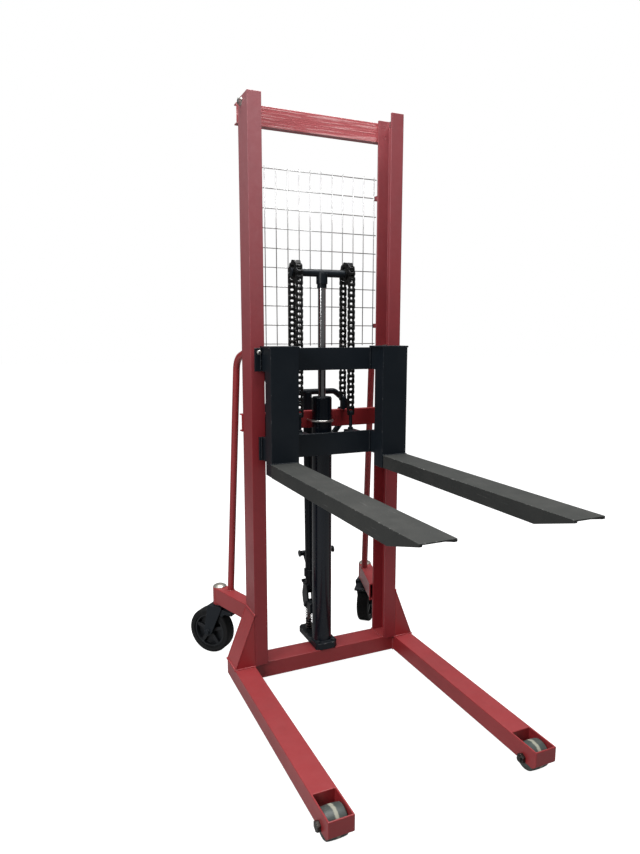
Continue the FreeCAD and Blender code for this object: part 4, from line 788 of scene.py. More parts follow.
# Geometry Nodes --------------------------------------------------------------------------
class Makers:
    """Geometry Nodes trees for what repeats or follows a path."""

    def __init__(self) -> None:
        """Builds each tree once."""
        self.parts = self._parts_on_points()
        self.links = self._links_on_pins()
        self.beads = self._weld_beads()
        self.wires = self._wire_grid()
        self.coil = self._coil()

    @staticmethod
    def _close(group: Group, geometry: object) -> bpy.types.NodeTree:
        """Realizes instances, sets the material and ends the tree."""
        real = group.add("GeometryNodeRealizeInstances", {"Geometry": geometry})
        group.put(Geometry=group.add("GeometryNodeSetMaterial", {"Geometry": real,
                                                                 "Material": group.source["Material"]}))
        return group.tree

    @staticmethod
    def _turned(group: Group, axis: str) -> bpy.types.NodeSocket:
        """Rotation that points an instance's Z along the stored axis.

        Args:
            group: the tree.
            axis: the axis that the turn is kept to, or AUTO.

        Returns:
            The rotation.
        """
        stored = group.add("GeometryNodeInputNamedAttribute", {"Name": AXIS_ATTRIBUTE},
                           data_type="FLOAT_VECTOR")
        node = group.add("FunctionNodeAlignRotationToVector", {"Vector": stored.outputs["Attribute"]},
                         axis="Z", pivot_axis=axis)
        return node.outputs[0]

    def _parts_on_points(self) -> bpy.types.NodeTree:
        """One template part on each point, along its axis, spun by a random angle."""
        group = Group("fasteners_on_points", "GeometryNodeTree",
                      {"Geometry": (GEOMETRY, None), "Part": ("NodeSocketObject", None),
                       "Spin": (FLOAT, 3.14), "Seed": ("NodeSocketInt", 3),
                       "Material": ("NodeSocketMaterial", None)}, {"Geometry": GEOMETRY})
        part = group.add("GeometryNodeObjectInfo", {"Object": group.source["Part"]}).outputs["Geometry"]
        placed = group.add("GeometryNodeInstanceOnPoints", {
            "Points": group.source["Geometry"], "Instance": part, "Rotation": self._turned(group, "AUTO")})
        angle = group.add("FunctionNodeRandomValue", {3: group.source["Spin"], 8: group.source["Seed"]},
                          data_type="FLOAT")
        turn = group.add("ShaderNodeCombineXYZ", {"Z": angle.outputs[1]})
        spun = group.add("GeometryNodeRotateInstances", {"Instances": placed, "Rotation": turn})
        return self._close(group, spun)

    def _links_on_pins(self) -> bpy.types.NodeTree:
        """Pin links and roller links in turn on the middles of a chain's pitches."""
        group = Group("links_on_pins", "GeometryNodeTree",
                      {"Geometry": (GEOMETRY, None), "Pin Link": ("NodeSocketObject", None),
                       "Roller Link": ("NodeSocketObject", None),
                       "Material": ("NodeSocketMaterial", None)}, {"Geometry": GEOMETRY})
        kind = group.add("GeometryNodeInputNamedAttribute", {"Name": PIN_LINK_ATTRIBUTE},
                         data_type="BOOLEAN").outputs["Attribute"]
        other = group.add("FunctionNodeBooleanMath", {0: kind}, operation="NOT")
        joined = group.add("GeometryNodeJoinGeometry")
        for label, chosen in (("Roller Link", other), ("Pin Link", kind)):
            part = group.add("GeometryNodeObjectInfo", {"Object": group.source[label]}).outputs["Geometry"]
            placed = group.add("GeometryNodeInstanceOnPoints", {
                "Points": group.source["Geometry"], "Selection": chosen, "Instance": part,
                "Rotation": self._turned(group, "X")})
            group.feed(joined.inputs[0], placed)
        return self._close(group, joined)

    def _weld_beads(self) -> bpy.types.NodeTree:
        """Overlapping ripples along each path of edges."""
        group = Group("weld_beads", "GeometryNodeTree",
                      {"Geometry": (GEOMETRY, None), "Radius": (FLOAT, 0.003), "Pitch": (FLOAT, 0.0035),
                       "Seed": ("NodeSocketInt", 11), "Material": ("NodeSocketMaterial", None)},
                      {"Geometry": GEOMETRY})
        curve = group.add("GeometryNodeMeshToCurve", {"Mesh": group.source["Geometry"]})
        steps = group.add("GeometryNodeCurveToPoints", {"Curve": curve, "Length": group.source["Pitch"]},
                          mode="LENGTH")
        ripple = group.add("GeometryNodeMeshUVSphere", {"Segments": 8, "Rings": 5,
                                                        "Radius": group.source["Radius"]})
        smooth = group.add("GeometryNodeSetShadeSmooth", {0: ripple.outputs[0]})
        size = group.add("FunctionNodeRandomValue", {2: 0.85, 3: 1.15, 8: group.source["Seed"]},
                         data_type="FLOAT")
        placed = group.add("GeometryNodeInstanceOnPoints", {
            "Points": steps.outputs["Points"], "Instance": smooth, "Rotation": steps.outputs["Rotation"],
            "Scale": size.outputs[1]})
        return self._close(group, placed)

    def _wire_grid(self) -> bpy.types.NodeTree:
        """Welded mesh in the XZ plane: upright wires, cross wires behind them, weld spots."""
        group = Group("welded_wire_grid", "GeometryNodeTree",
                      {"Geometry": (GEOMETRY, None), "Columns": ("NodeSocketInt", 12),
                       "Rows": ("NodeSocketInt", 10), "Width": (FLOAT, 0.468), "Height": (FLOAT, 0.595),
                       "Overhang X": (FLOAT, 0.012), "Overhang Z": (FLOAT, 0.008),
                       "Wire Radius": (FLOAT, 0.0016), "Wander": (FLOAT, 0.0006),
                       "Centre": (VECTOR, None), "Seed": ("NodeSocketInt", 5),
                       "Material": ("NodeSocketMaterial", None)}, {"Geometry": GEOMETRY})
        source = group.source
        joined = group.add("GeometryNodeJoinGeometry")
        radius = source["Wire Radius"]
        layer = group.math("MULTIPLY", radius, 0.9)
        runs = (("Width", "Columns", "Height", "Overhang Z", 0.0, -1.0),
                ("Height", "Rows", "Width", "Overhang X", math.pi / 2.0, 1.0))
        for span, count, length, overhang, tilt, behind in runs:
            gaps = group.math("SUBTRACT", source[count], 1.0)
            step = group.math("DIVIDE", source[span], gaps)
            start = group.math("MULTIPLY", source[span], -0.5)
            axis = "X" if tilt == 0.0 else "Z"
            depth = group.math("MULTIPLY", layer, behind)
            first = group.add("ShaderNodeCombineXYZ", {axis: start, "Y": depth})
            offset = group.add("ShaderNodeCombineXYZ", {axis: step})
            line = group.add("GeometryNodeMeshLine", {"Count": source[count], "Start Location": first,
                                                      "Offset": offset})
            full = group.math("MULTIPLY_ADD", source[overhang], 2.0, source[length])
            wire = group.add("GeometryNodeMeshCylinder", {"Vertices": 10, "Side Segments": 1,
                                                          "Radius": radius, "Depth": full})
            smooth = group.add("GeometryNodeSetShadeSmooth", {0: wire.outputs[0]})
            limit = group.add("ShaderNodeCombineXYZ", {"X": source["Wander"], "Z": source["Wander"]})
            least = group.add("ShaderNodeVectorMath", {0: limit, "Scale": -1.0}, operation="SCALE")
            wander = group.add("FunctionNodeRandomValue", {0: least, 1: limit, 8: source["Seed"]},
                               data_type="FLOAT_VECTOR")
            moved = group.add("GeometryNodeSetPosition", {"Geometry": line, "Offset": wander.outputs[0]})
            placed = group.add("GeometryNodeInstanceOnPoints", {
                "Points": moved, "Instance": smooth, "Rotation": (0.0, tilt, 0.0)})
            group.feed(joined.inputs[0], placed)
        grid = group.add("GeometryNodeMeshGrid", {"Size X": source["Width"], "Size Y": source["Height"],
                                                  "Vertices X": source["Columns"],
                                                  "Vertices Y": source["Rows"]})
        upright = group.add("GeometryNodeTransform", {"Geometry": grid.outputs[0],
                                                      "Rotation": (math.pi / 2.0, 0.0, 0.0)})
        spot = group.add("GeometryNodeMeshUVSphere", {"Segments": 8, "Rings": 5,
                                                      "Radius": group.math("MULTIPLY", radius, 1.25)})
        spots = group.add("GeometryNodeInstanceOnPoints", {"Points": upright,
                                                           "Instance": group.add("GeometryNodeSetShadeSmooth",
                                                                                 {0: spot.outputs[0]})})
        group.feed(joined.inputs[0], spots)
        placed = group.add("GeometryNodeTransform", {"Geometry": joined, "Translation": source["Centre"]})
        return self._close(group, placed)

    def _coil(self) -> bpy.types.NodeTree:
        """Compression spring standing on a point, its turns evenly spaced."""
        group = Group("coil_spring", "GeometryNodeTree",
                      {"Geometry": (GEOMETRY, None), "Turns": (FLOAT, 9.0), "Radius": (FLOAT, 0.0115),
                       "Height": (FLOAT, 0.09), "Wire Radius": (FLOAT, 0.0015), "Foot": (VECTOR, None),
                       "Material": ("NodeSocketMaterial", None)}, {"Geometry": GEOMETRY})
        source = group.source
        spiral = group.add("GeometryNodeCurveSpiral", {"Resolution": 28, "Rotations": source["Turns"],
                                                       "Start Radius": source["Radius"],
                                                       "End Radius": source["Radius"],
                                                       "Height": source["Height"]})
        circle = group.add("GeometryNodeCurvePrimitiveCircle", {"Resolution": 10})
        group.feed(circle.inputs["Radius"], source["Wire Radius"])
        coil = group.add("GeometryNodeCurveToMesh", {"Curve": spiral, "Profile Curve": circle.outputs[0],
                                                     "Fill Caps": True})
        smooth = group.add("GeometryNodeSetShadeSmooth", {0: coil})
        placed = group.add("GeometryNodeTransform", {"Geometry": smooth, "Translation": source["Foot"]})
        return self._close(group, placed)


MAKERS = Makers()


def point_mesh(name: str, points: Sequence[Point], edges: Sequence[tuple[int, int]] = (),
               axes: Sequence[Point] = (), flags: Sequence[bool] = ()) -> bpy.types.Mesh:
    """Points, and the edges between them, that a tree builds on.

    Args:
        name: the mesh's name.
        points: the places.
        edges: pairs of point numbers.
        axes: a direction for each point.
        flags: for each point, whether a pin link stands there.

    Returns:
        The mesh.
    """
    mesh = bpy.data.meshes.new(name)
    mesh.from_pydata([tuple(p) for p in points], list(edges), [])
    if len(axes):
        layer = mesh.attributes.new(AXIS_ATTRIBUTE, "FLOAT_VECTOR", "POINT")
        layer.data.foreach_set("vector", np.array(axes, np.float32).ravel())
    if len(flags):
        layer = mesh.attributes.new(PIN_LINK_ATTRIBUTE, "BOOLEAN", "POINT")
        layer.data.foreach_set("value", np.array(flags, bool))
    return mesh


def grown(name: str, mesh: bpy.types.Mesh, tree: bpy.types.NodeTree, finish: Finish,
          **inputs: object) -> bpy.types.Object:
    """Runs a Geometry Nodes tree and keeps its result as a plain mesh.

    Args:
        name: the piece's name.
        mesh: what the tree starts from.
        tree: the tree.
        finish: the finish that the tree's Material input gets.
        inputs: the tree's other inputs, with spaces as underscores.

    Returns:
        The finished piece.
    """
    holder = link_piece(name + "_maker", mesh)
    modifier = holder.modifiers.new("make", "NODES")
    modifier.node_group = tree
    values = {key.replace("_", " "): value for key, value in inputs.items()}
    values["Material"] = finish.material()
    for item in tree.interface.items_tree:
        if item.item_type == "SOCKET" and item.in_out == "INPUT" and item.name in values:
            modifier[item.identifier] = values[item.name]
    result = applied(holder)
    bpy.data.objects.remove(holder)
    result.name = name
    return link_piece(name, result)


def template(name: str, build: Callable[[bmesh.types.BMesh], None]) -> bpy.types.Object:
    """A part that trees repeat, kept out of the scene's collection.

    Args:
        name: its name.
        build: a function that fills a bmesh.

    Returns:
        The object.
    """
    bm = bmesh.new()
    build(bm)
    bmesh.ops.recalc_face_normals(bm, faces=bm.faces)
    return bpy.data.objects.new(name, settled(bm, name))


# Sub-assemblies --------------------------------------------------------------------------
SLOTS = {row["node"]: row["material_slot"] for row in frame["record"]["subparts"]}
BODIES = {node: body for body, nodes in frame["record"]["behaviour"]["bodies"].items() for node in nodes}
JOINTS = {joint["name"]: joint for joint in frame["joints"]}


@dataclass
class SubAssembly:
    """Shared ways of putting pieces on the frame."""

    made: list[str] = field(default_factory=list)
    bead_spacing: float = 1.1

    def report(self, piece: bpy.types.Object) -> bpy.types.Object:
        """Logs a finished piece."""
        self.made.append(piece.name)
        LOG.info("%s: %s, %d faces", type(self).__name__, piece.name, len(piece.data.polygons))
        return piece

    def dress(self, node: str, finish: Finish, bevel: float, segments: int = 2) -> bpy.types.Object:
        """Replaces a CAD node by its rounded copy.

        Args:
            node: the CAD node.
            finish: the copy's finish.
            bevel: width of the rounding.
            segments: faces across the rounding.

        Returns:
            The copy.
        """
        piece = bevelled(node, node + "_finished", bevel, segments)
        piece.data.materials.clear()
        piece.data.materials.append(finish.material())
        return self.mount(piece, BODIES[node], SLOTS[node], node)

    def mount(self, piece: bpy.types.Object, body: str, slot: str, *nodes: str) -> bpy.types.Object:
        """Puts a piece on a body.

        Args:
            piece: the piece, in place.
            body: the body that it rides on.
            slot: the record's material slot; not used.
            nodes: the CAD nodes that it stands for.

        Returns:
            The piece.
        """
        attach(piece, body)
        if nodes:
            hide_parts(*nodes)
        return self.report(piece)

    def weld(self, name: str, paths: list[list[Vector]], body: str, finish: Finish, slot: str,
             radius: float = 3.0 * MM) -> bpy.types.Object:
        """Weld beads along paths.

        Args:
            name: the piece's name.
            paths: open runs of points.
            body: the body that the beads ride on.
            finish: the paint over them.
            slot: the record's material slot.
            radius: half the width of a bead.

        Returns:
            The beads.
        """
        points, edges = [], []
        for path in paths:
            edges += [(len(points) + k, len(points) + k + 1) for k in range(len(path) - 1)]
            points += [tuple(p) for p in path]
        beads = grown(name, point_mesh(name, points, edges), MAKERS.beads, finish, Radius=radius,
                      Pitch=radius * self.bead_spacing)
        return self.mount(beads, body, slot)


def ring_path(centre: Vector, across: Vector, up: Vector, count: int = 24) -> list[Vector]:
    """A closed round path.

    Args:
        centre: its middle.
        across: half its width, as a vector.
        up: half its height, as a vector.
        count: steps round it.

    Returns:
        Its points, the first one repeated at the end.
    """
    return [centre + across * math.cos(2.0 * math.pi * k / count) + up * math.sin(2.0 * math.pi * k / count)
            for k in range(count + 1)]


@dataclass
class Fasteners(SubAssembly):
    """Hexagon screws on the frame and the carriage."""

    flats_ratio: float = 1.6
    washer_share: float = 0.22
    chamfer: float = 0.6 * MM
    chamfer_slope: float = 1.7
    thread_sides: int = 24
    washer_sides: int = 28
    screw_height: float = 6.5 * MM
    screw_d: float = 10.0 * MM
    hole_d: float = 10.6 * MM
    tip_depth: float = 3.0 * MM
    beam_washer_d: float = 20.0 * MM
    base_washer_d: float = 18.0 * MM
    stop_bolt_d: float = 12.0 * MM
    stop_washer_d: float = 28.0 * MM
    corner_bolt_d: float = 8.0 * MM
    corner_washer_d: float = 17.0 * MM
    upright_web: float = 5.3 * MM

    def head(self, bolt_d: float, washer_d: float, height: float, shank: float = 2 * MM) -> bpy.types.Object:
        """A head on a washer, seated at the origin and pointing along +Z.

        Args:
            bolt_d: thread diameter.
            washer_d: washer diameter.
            height: washer and head together.
            shank: length of the thread behind the seat.

        Returns:
            The template.
        """
        def build(bm: bmesh.types.BMesh) -> None:
            """Thread, washer disc and chamfered hexagon."""
            washer = height * self.washer_share
            block = height - washer - self.chamfer
            radius = self.flats_ratio * bolt_d / math.cos(math.pi / 6.0) / 2.0
            disc(bm, self.thread_sides, bolt_d / 2.0, bolt_d / 2.0, -shank, shank)
            disc(bm, self.washer_sides, washer_d / 2.0, washer_d / 2.0 - self.chamfer / 2.0, 0.0, washer)
            disc(bm, 6, radius, radius, washer, block)
            disc(bm, 6, radius, radius - self.chamfer_slope * self.chamfer, washer + block, self.chamfer)
        return template("bolt_head", build)

    def tip(self) -> bpy.types.Object:
        """A screw's flush end, painted over, just behind the origin."""
        def build(bm: bmesh.types.BMesh) -> None:
            """One short disc."""
            disc(bm, self.thread_sides, self.hole_d / 2.0, self.hole_d / 2.0, -self.tip_depth, self.tip_depth)
        return template("screw_tip", build)

    def scatter(self, name: str, places: list[tuple[Vector, Vector]], part: bpy.types.Object,
                body: str, *nodes: str, finish: Finish = ZINC) -> None:
        """Puts a head at each seat.

        Args:
            name: the piece's name.
            places: seats and the directions that the heads point in.
            part: the template.
            body: the body that they ride on.
            nodes: CAD nodes that they stand for.
            finish: their finish.
        """
        points = point_mesh(name, [tuple(p) for p, _ in places], axes=[tuple(a) for _, a in places])
        heads = grown(name, points, MAKERS.parts, finish, Part=part)
        self.mount(heads, body, "zinc", *nodes)
        bpy.data.objects.remove(part)

    def build(self) -> None:
        """Beam screws, base screws, stop bolts and the carriage's corner bolts."""
        outer, block_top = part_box("upright_right")[1].x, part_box("base_block")[1].z
        beam, tips, foot, stop, corner = [], [], [], [], []
        stop_height = corner_height = 0.0
        for low, high in solids("frame_bolts"):
            x, y, z = (low + high) / 2.0
            side = math.copysign(1.0, x)
            reach = max(abs(low.x), abs(high.x))
            if reach > outer:
                stop_height = max(stop_height, reach - outer)
                stop.append((Vector((side * outer, y, z)), Vector((side, 0, 0))))
                stop.append((Vector((side * (outer - self.upright_web), y, z)), Vector((-side, 0, 0))))
            elif high.z < block_top:
                foot.append((Vector((x, y, high.z - self.screw_height)), Vector((0, 0, 1))))
            else:
                beam.append((Vector((x, high.y - self.screw_height, z)), Vector((0, 1, 0))))
                tips.append((Vector((x, low.y, z)), Vector((0, -1, 0))))
        for low, high in solids("carriage_bolts"):
            x, y, z = (low + high) / 2.0
            corner_height = max(corner_height, high.y - low.y)
            corner.append((Vector((x, high.y, z)), Vector((0, -1, 0))))
        beam_head = self.head(self.screw_d, self.beam_washer_d, self.screw_height)
        self.scatter("frame_screws", beam, beam_head, "frame", "frame_bolts")
        self.scatter("painted_screw_tips", tips, self.tip(), "frame", finish=RED_RIGHT)
        base_head = self.head(self.screw_d, self.base_washer_d, self.screw_height)
        self.scatter("base_screws", foot, base_head, "frame", finish=BLACK)
        stop_head = self.head(self.stop_bolt_d, self.stop_washer_d, stop_height)
        self.scatter("stop_bolts", stop, stop_head, "frame")
        corner_head = self.head(self.corner_bolt_d, self.corner_washer_d, corner_height)
        self.scatter("corner_bolts", corner, corner_head, "carriage", "carriage_bolts")


@dataclass
class Mast(SubAssembly):
    """Uprights, beams and the wire guard."""

    edge: float = 1.4 * MM
    columns: int = 12
    rows: int = 10
    wire_radius: float = 1.6 * MM
    overhang_x: float = 12.0 * MM
    overhang_z: float = 8.0 * MM
    wander_room: float = 1.0 * MM
    weld_radius: float = 2.6 * MM

    def guard(self) -> None:
        """Welded wire guard behind the chains."""
        low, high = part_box("mesh_guard")
        size = high - low
        guard = grown("wire_guard", point_mesh("wire_guard", [(0, 0, 0)]), MAKERS.wires, WIRE,
                      Columns=self.columns, Rows=self.rows, Width=size.x - 2 * self.overhang_x,
                      Height=size.z - 2 * self.overhang_z, Overhang_X=self.overhang_x - self.wander_room,
                      Overhang_Z=self.overhang_z - self.wander_room, Wire_Radius=self.wire_radius,
                      Centre=tuple((low + high) / 2.0))
        self.mount(guard, "frame", "mesh_wire", "mesh_guard")

    def welds(self) -> None:
        """Beads round the feet of the uprights and under the rear chain eyes."""
        paths = []
        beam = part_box("lower_crossbeam")
        for side in Side:
            low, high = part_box("upright_" + side.value)
            inner = low.x if side is Side.RIGHT else high.x
            z = low.z
            paths.append([Vector((inner, beam[0].y, z)), Vector((inner, beam[1].y, z))])
            paths.append([Vector((inner, beam[1].y, z)), Vector((side.sign * beam[1].x, beam[1].y, z))])
        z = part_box("middle_brace")[1].z
        for low, high in solids("rear_chain_anchors"):
            paths.append([Vector((low.x, low.y, z)), Vector((low.x, high.y, z)),
                          Vector((high.x, high.y, z)), Vector((high.x, low.y, z))])
        self.weld("mast_welds", paths, "frame", RED, "red_paint", self.weld_radius)

    def build(self) -> None:
        """Makes the mast."""
        for side in Side:
            paint = RED_RIGHT if side is Side.RIGHT else RED_LEFT
            self.dress("upright_" + side.value, paint, bevel=self.edge, segments=3)
        self.dress("top_beam", RED_WRAPPED, bevel=self.edge, segments=3)
        self.dress("middle_brace", RED, bevel=self.edge)
        self.dress("mesh_clips", RED_RIGHT, bevel=0.5 * MM)
        self.dress("rear_chain_anchors", BLACK, bevel=0.6 * MM)
        self.guard()
        self.welds()


@dataclass
class Base(SubAssembly):
    """Straddle legs, toe rollers, crossbeam and gussets."""

    edge: float = 2.2 * MM
    weld_radius: float = 4.2 * MM
    fine_weld_radius: float = 1.8 * MM
    weld_foot: float = 2.0 * MM

    def welds(self) -> None:
        """Beads where the gussets, the legs and the crossbeam meet."""
        paths, fine = [], []
        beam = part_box("lower_crossbeam")
        gusset_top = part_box("gussets")[1].z
        for side in Side:
            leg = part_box("leg_" + side.value)
            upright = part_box("upright_" + side.value)
            mast_x = upright[1].x if side is Side.RIGHT else upright[0].x
            outer_x = side.sign * max(abs(leg[0].x), abs(leg[1].x))
            front, rear = upright[0].y, upright[1].y
            z = leg[1].z
            foot = Vector((mast_x, beam[0].y, beam[0].z + self.weld_foot))
            paths.append([Vector((outer_x, front, z)), Vector((mast_x, front, z)),
                          Vector((mast_x, beam[0].y, z)), foot])
            paths.append([Vector((outer_x, rear, z)), Vector((mast_x, rear, z))])
            paths.append([Vector((outer_x, front, z)), Vector((outer_x, rear, z))])
            paths.append([Vector((mast_x, front, gusset_top)), Vector((mast_x, rear, gusset_top))])
            for y in (front, rear):
                fine.append([Vector((outer_x, y, z)), Vector((mast_x, y, gusset_top))])
        self.weld("base_welds", paths, "frame", RED, "red_paint", self.weld_radius)
        self.weld("gusset_edge_welds", fine, "frame", RED, "red_paint", self.fine_weld_radius)

    def build(self) -> None:
        """Makes the base."""
        for side in Side:
            self.dress("leg_" + side.value, RED, bevel=self.edge, segments=3)
            self.dress("toe_roller_" + side.value, TOE_ROLLER, bevel=0.6 * MM)
        self.dress("lower_crossbeam", RED, bevel=self.edge, segments=3)
        self.dress("gussets", RED, bevel=self.edge, segments=3)
        self.dress("toe_axles", DARK_STEEL, bevel=0.8 * MM)
        self.welds()


@dataclass
class RearCorners(SubAssembly):
    """Caster arms, swivel casters with brakes, and the push handles."""

    tyre_section: float = 22.0 * MM
    tyre_half: float = 25.0 * MM
    shoulder: float = 9.0 * MM
    shoulder_steps: int = 7
    recess_depth: float = 1.0 * MM
    recess_from: float = 2.5 * MM
    recess_to: float = 9.0 * MM
    groove_half: float = 1.2 * MM
    groove_floor: float = 0.8 * MM
    groove_depth: float = 0.5 * MM
    handle_d: float = 25.0 * MM
    weld_radius: float = 2.8 * MM

    def tyre(self, side: Side) -> None:
        """Rubber tyre with round shoulders, a groove round its tread and recessed side walls."""
        node = "caster_tyre_" + side.value
        low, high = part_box(node)
        outer = (high.z - low.z) / 2.0
        inner = outer - self.tyre_section
        half, bend = self.tyre_half, self.shoulder
        low_lip, high_lip, sunk = inner + self.recess_from, inner + self.recess_to, half - self.recess_depth
        flank = [(half, inner), (half, low_lip), (sunk, low_lip + self.recess_depth),
                 (sunk, high_lip - self.recess_depth), (half, high_lip)]
        for step in range(self.shoulder_steps + 1):
            angle = math.pi / 2.0 * step / self.shoulder_steps
            flank.append((half - bend + bend * math.cos(angle), outer - bend + bend * math.sin(angle)))
        tread = [(self.groove_half, outer), (self.groove_floor, outer - self.groove_depth)]
        right = flank + tread
        profile = right + [(-along, radius) for along, radius in reversed(right)]
        axis = Vector(JOINTS["wheel_spin_" + side.value]["axis"])
        piece = revolved(node + "_finished", profile, (low + high) / 2.0, axis)
        piece.data.materials.append(RUBBER.material())
        self.mount(piece, BODIES[node], SLOTS[node], node)

    def welds(self) -> None:
        """Beads round the roots of the arms and both ends of the push handles."""
        paths = []
        for side in Side:
            low, high = corner_box("caster_arm_" + side.value, 1, True)
            paths.append([Vector((low.x, low.y, low.z)), Vector((low.x, low.y, high.z)),
                          Vector((high.x, low.y, high.z)), Vector((high.x, low.y, low.z)),
                          Vector((low.x, low.y, low.z))])
            for axis in (2, 1):
                low, high = corner_box("push_handles", axis, True, side.sign)
                half = (high - low) / 2.0
                up = Vector((0, half.y, 0)) if axis == 2 else Vector((0, 0, half.z))
                paths.append(ring_path((low + high) / 2.0, Vector((self.handle_d / 2.0, 0, 0)), up))
        self.weld("arm_welds", paths, "frame", RED, "red_paint", self.weld_radius)

    def build(self) -> None:
        """Makes both rear corners."""
        for side in Side:
            self.dress("caster_arm_" + side.value, RED, bevel=2.2 * MM, segments=3)
            self.dress("caster_fork_" + side.value, BLACK, bevel=0.9 * MM)
            self.dress("caster_hub_" + side.value, HUB, bevel=0.9 * MM)
            self.dress("brake_pedal_" + side.value, BLACK, bevel=1.6 * MM, segments=3)
            self.tyre(side)
        self.dress("kingpin_caps", CAP, bevel=0.5 * MM)
        self.dress("push_handles", RED, bevel=0.5 * MM)
        self.welds()


@dataclass
class LiftCylinder(SubAssembly):
    """Cylinder, ram, crosshead and sprockets."""

    weld_radius: float = 3.0 * MM
    weld_steps: int = 40

    def build(self) -> None:
        """Makes the lift."""
        self.dress("cylinder_barrel", BARREL, bevel=0.8 * MM)
        self.dress("gland_nut", BLACK, bevel=0.8 * MM)
        self.dress("ram_rod", CHROME, bevel=0.8 * MM)
        self.dress("crosshead", BLACK, bevel=0.8 * MM)
        self.dress("barrel_clamp", ZINC, bevel=0.4 * MM)
        for side in Side:
            self.dress("sprocket_" + side.value, CHAIN, bevel=0.4 * MM)
        low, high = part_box("cylinder_barrel")
        middle = Vector(((low.x + high.x) / 2.0, (low.y + high.y) / 2.0, low.z))
        radius = (high.x - low.x) / 2.0
        ring = ring_path(middle, Vector((radius, 0, 0)), Vector((0, radius, 0)), self.weld_steps)
        self.weld("barrel_foot_weld", [ring], "frame", BLACK, "black_paint", self.weld_radius)


@dataclass
class LiftChains(SubAssembly):
    """Roller chains from the carriage over the sprockets to the middle brace."""

    pitch: float = 19.05 * MM
    plate: float = 2.4 * MM
    plate_half: float = 8.8 * MM
    waist: float = 0.76
    inner_half: float = 6.285 * MM
    roller_radius: float = 5.955 * MM
    pin_radius: float = 2.97 * MM
    front_links: int = 26
    rear_links: int = 23
    teeth: int = 11
    arc_steps: int = 8
    arc_overrun: float = 20.0
    plate_gap: float = 0.15 * MM
    pin_end: float = 1.0 * MM
    round_sides: int = 14

    def outline(self) -> list[tuple[float, float]]:
        """A plate's waisted outline as (y, z) points, its two holes a pitch apart."""
        points = []
        half_pitch = self.pitch / 2.0
        sweep = 180.0 + 2.0 * self.arc_overrun
        for end in (1.0, -1.0):
            for step in range(self.arc_steps + 1):
                turned = sweep * step / self.arc_steps - self.arc_overrun
                angle = math.radians(turned) + (0.0 if end > 0 else math.pi)
                points.append((self.plate_half * math.cos(angle),
                               end * half_pitch + self.plate_half * math.sin(angle)))
            points.append((-end * self.waist * self.plate_half, 0.0))
        return points

    def link(self, pins: bool) -> bpy.types.Object:
        """A pin link or a roller link standing along Z about the origin.

        Args:
            pins: whether it is the outer link with the pins.

        Returns:
            The template.
        """
        def build(bm: bmesh.types.BMesh) -> None:
            """Two plates and two pins or rollers."""
            face = self.inner_half + (self.plate + self.plate_gap if pins else 0.0)
            prism(bm, self.outline(), face, face + self.plate)
            prism(bm, self.outline(), -face - self.plate, -face)
            radius = self.pin_radius if pins else self.roller_radius
            reach = face + self.plate + self.pin_end if pins else self.inner_half
            for z in (-self.pitch / 2.0, self.pitch / 2.0):
                prism(bm, round_outline(radius, z, self.round_sides), -reach, reach)
        return template("pin_link" if pins else "roller_link", build)

    def run(self, name: str, node: str, pins: list[tuple[float, float]], first: int) -> bpy.types.Object:
        """Links of both chains between successive pins.

        Args:
            name: the piece's name.
            node: the CAD node that it stands for.
            pins: (y, z) of the joints.
            first: number of the first link; even links are pin links.

        Returns:
            The links.
        """
        points, axes, flags = [], [], []
        for side in Side:
            low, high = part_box("sprocket_" + side.value)
            x = (low.x + high.x) / 2.0
            for k, (start, end) in enumerate(zip(pins, pins[1:])):
                points.append((x, (start[0] + end[0]) / 2.0, (start[1] + end[1]) / 2.0))
                axes.append((0.0, end[0] - start[0], end[1] - start[1]))
                flags.append((first + k) % 2 == 0)
        pin_link, roller_link = self.link(True), self.link(False)
        links = grown(name, point_mesh(name, points, axes=axes, flags=flags), MAKERS.links, CHAIN,
                      Pin_Link=pin_link, Roller_Link=roller_link)
        bpy.data.objects.remove(pin_link)
        bpy.data.objects.remove(roller_link)
        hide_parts(node)
        return links

    def build(self) -> None:
        """Makes the three runs."""
        low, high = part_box("sprocket_right")
        y, z = (low.y + high.y) / 2.0, (low.z + high.z) / 2.0
        radius = self.pitch / (2.0 * math.sin(math.pi / self.teeth))
        foot = z - self.front_links * self.pitch
        front_pins = [(y - radius, foot + k * self.pitch) for k in range(self.front_links + 1)]
        turn = 2.0 * math.pi / self.teeth
        wrap = [(y - radius * math.cos(k * turn), z + radius * math.sin(k * turn))
                for k in range(self.teeth // 2 + 1)]
        drop = math.sqrt(self.pitch ** 2 - (y + radius - wrap[-1][0]) ** 2)
        wrap.append((y + radius, wrap[-1][1] - drop))
        top = wrap[-1][1]
        rear_pins = [(y + radius, top - k * self.pitch) for k in range(self.rear_links + 1)]
        front = self.run("front_chain_links", "front_chains", front_pins, 0)
        blend_evenly(front)
        self.report(front)
        rear = self.run("rear_chain_links", "rear_chains", rear_pins, self.front_links + len(wrap) - 1)
        blend_evenly(rear)
        self.report(rear)
        over = self.run("top_chain_links", "top_chains", wrap, self.front_links)
        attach(over, "ram")
        self.report(over)


def blend_evenly(piece: bpy.types.Object) -> None:
    """Bakes a piece's placement into its mesh.

    Args:
        piece: the piece, in place and with no parent.
    """
    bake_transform(piece)


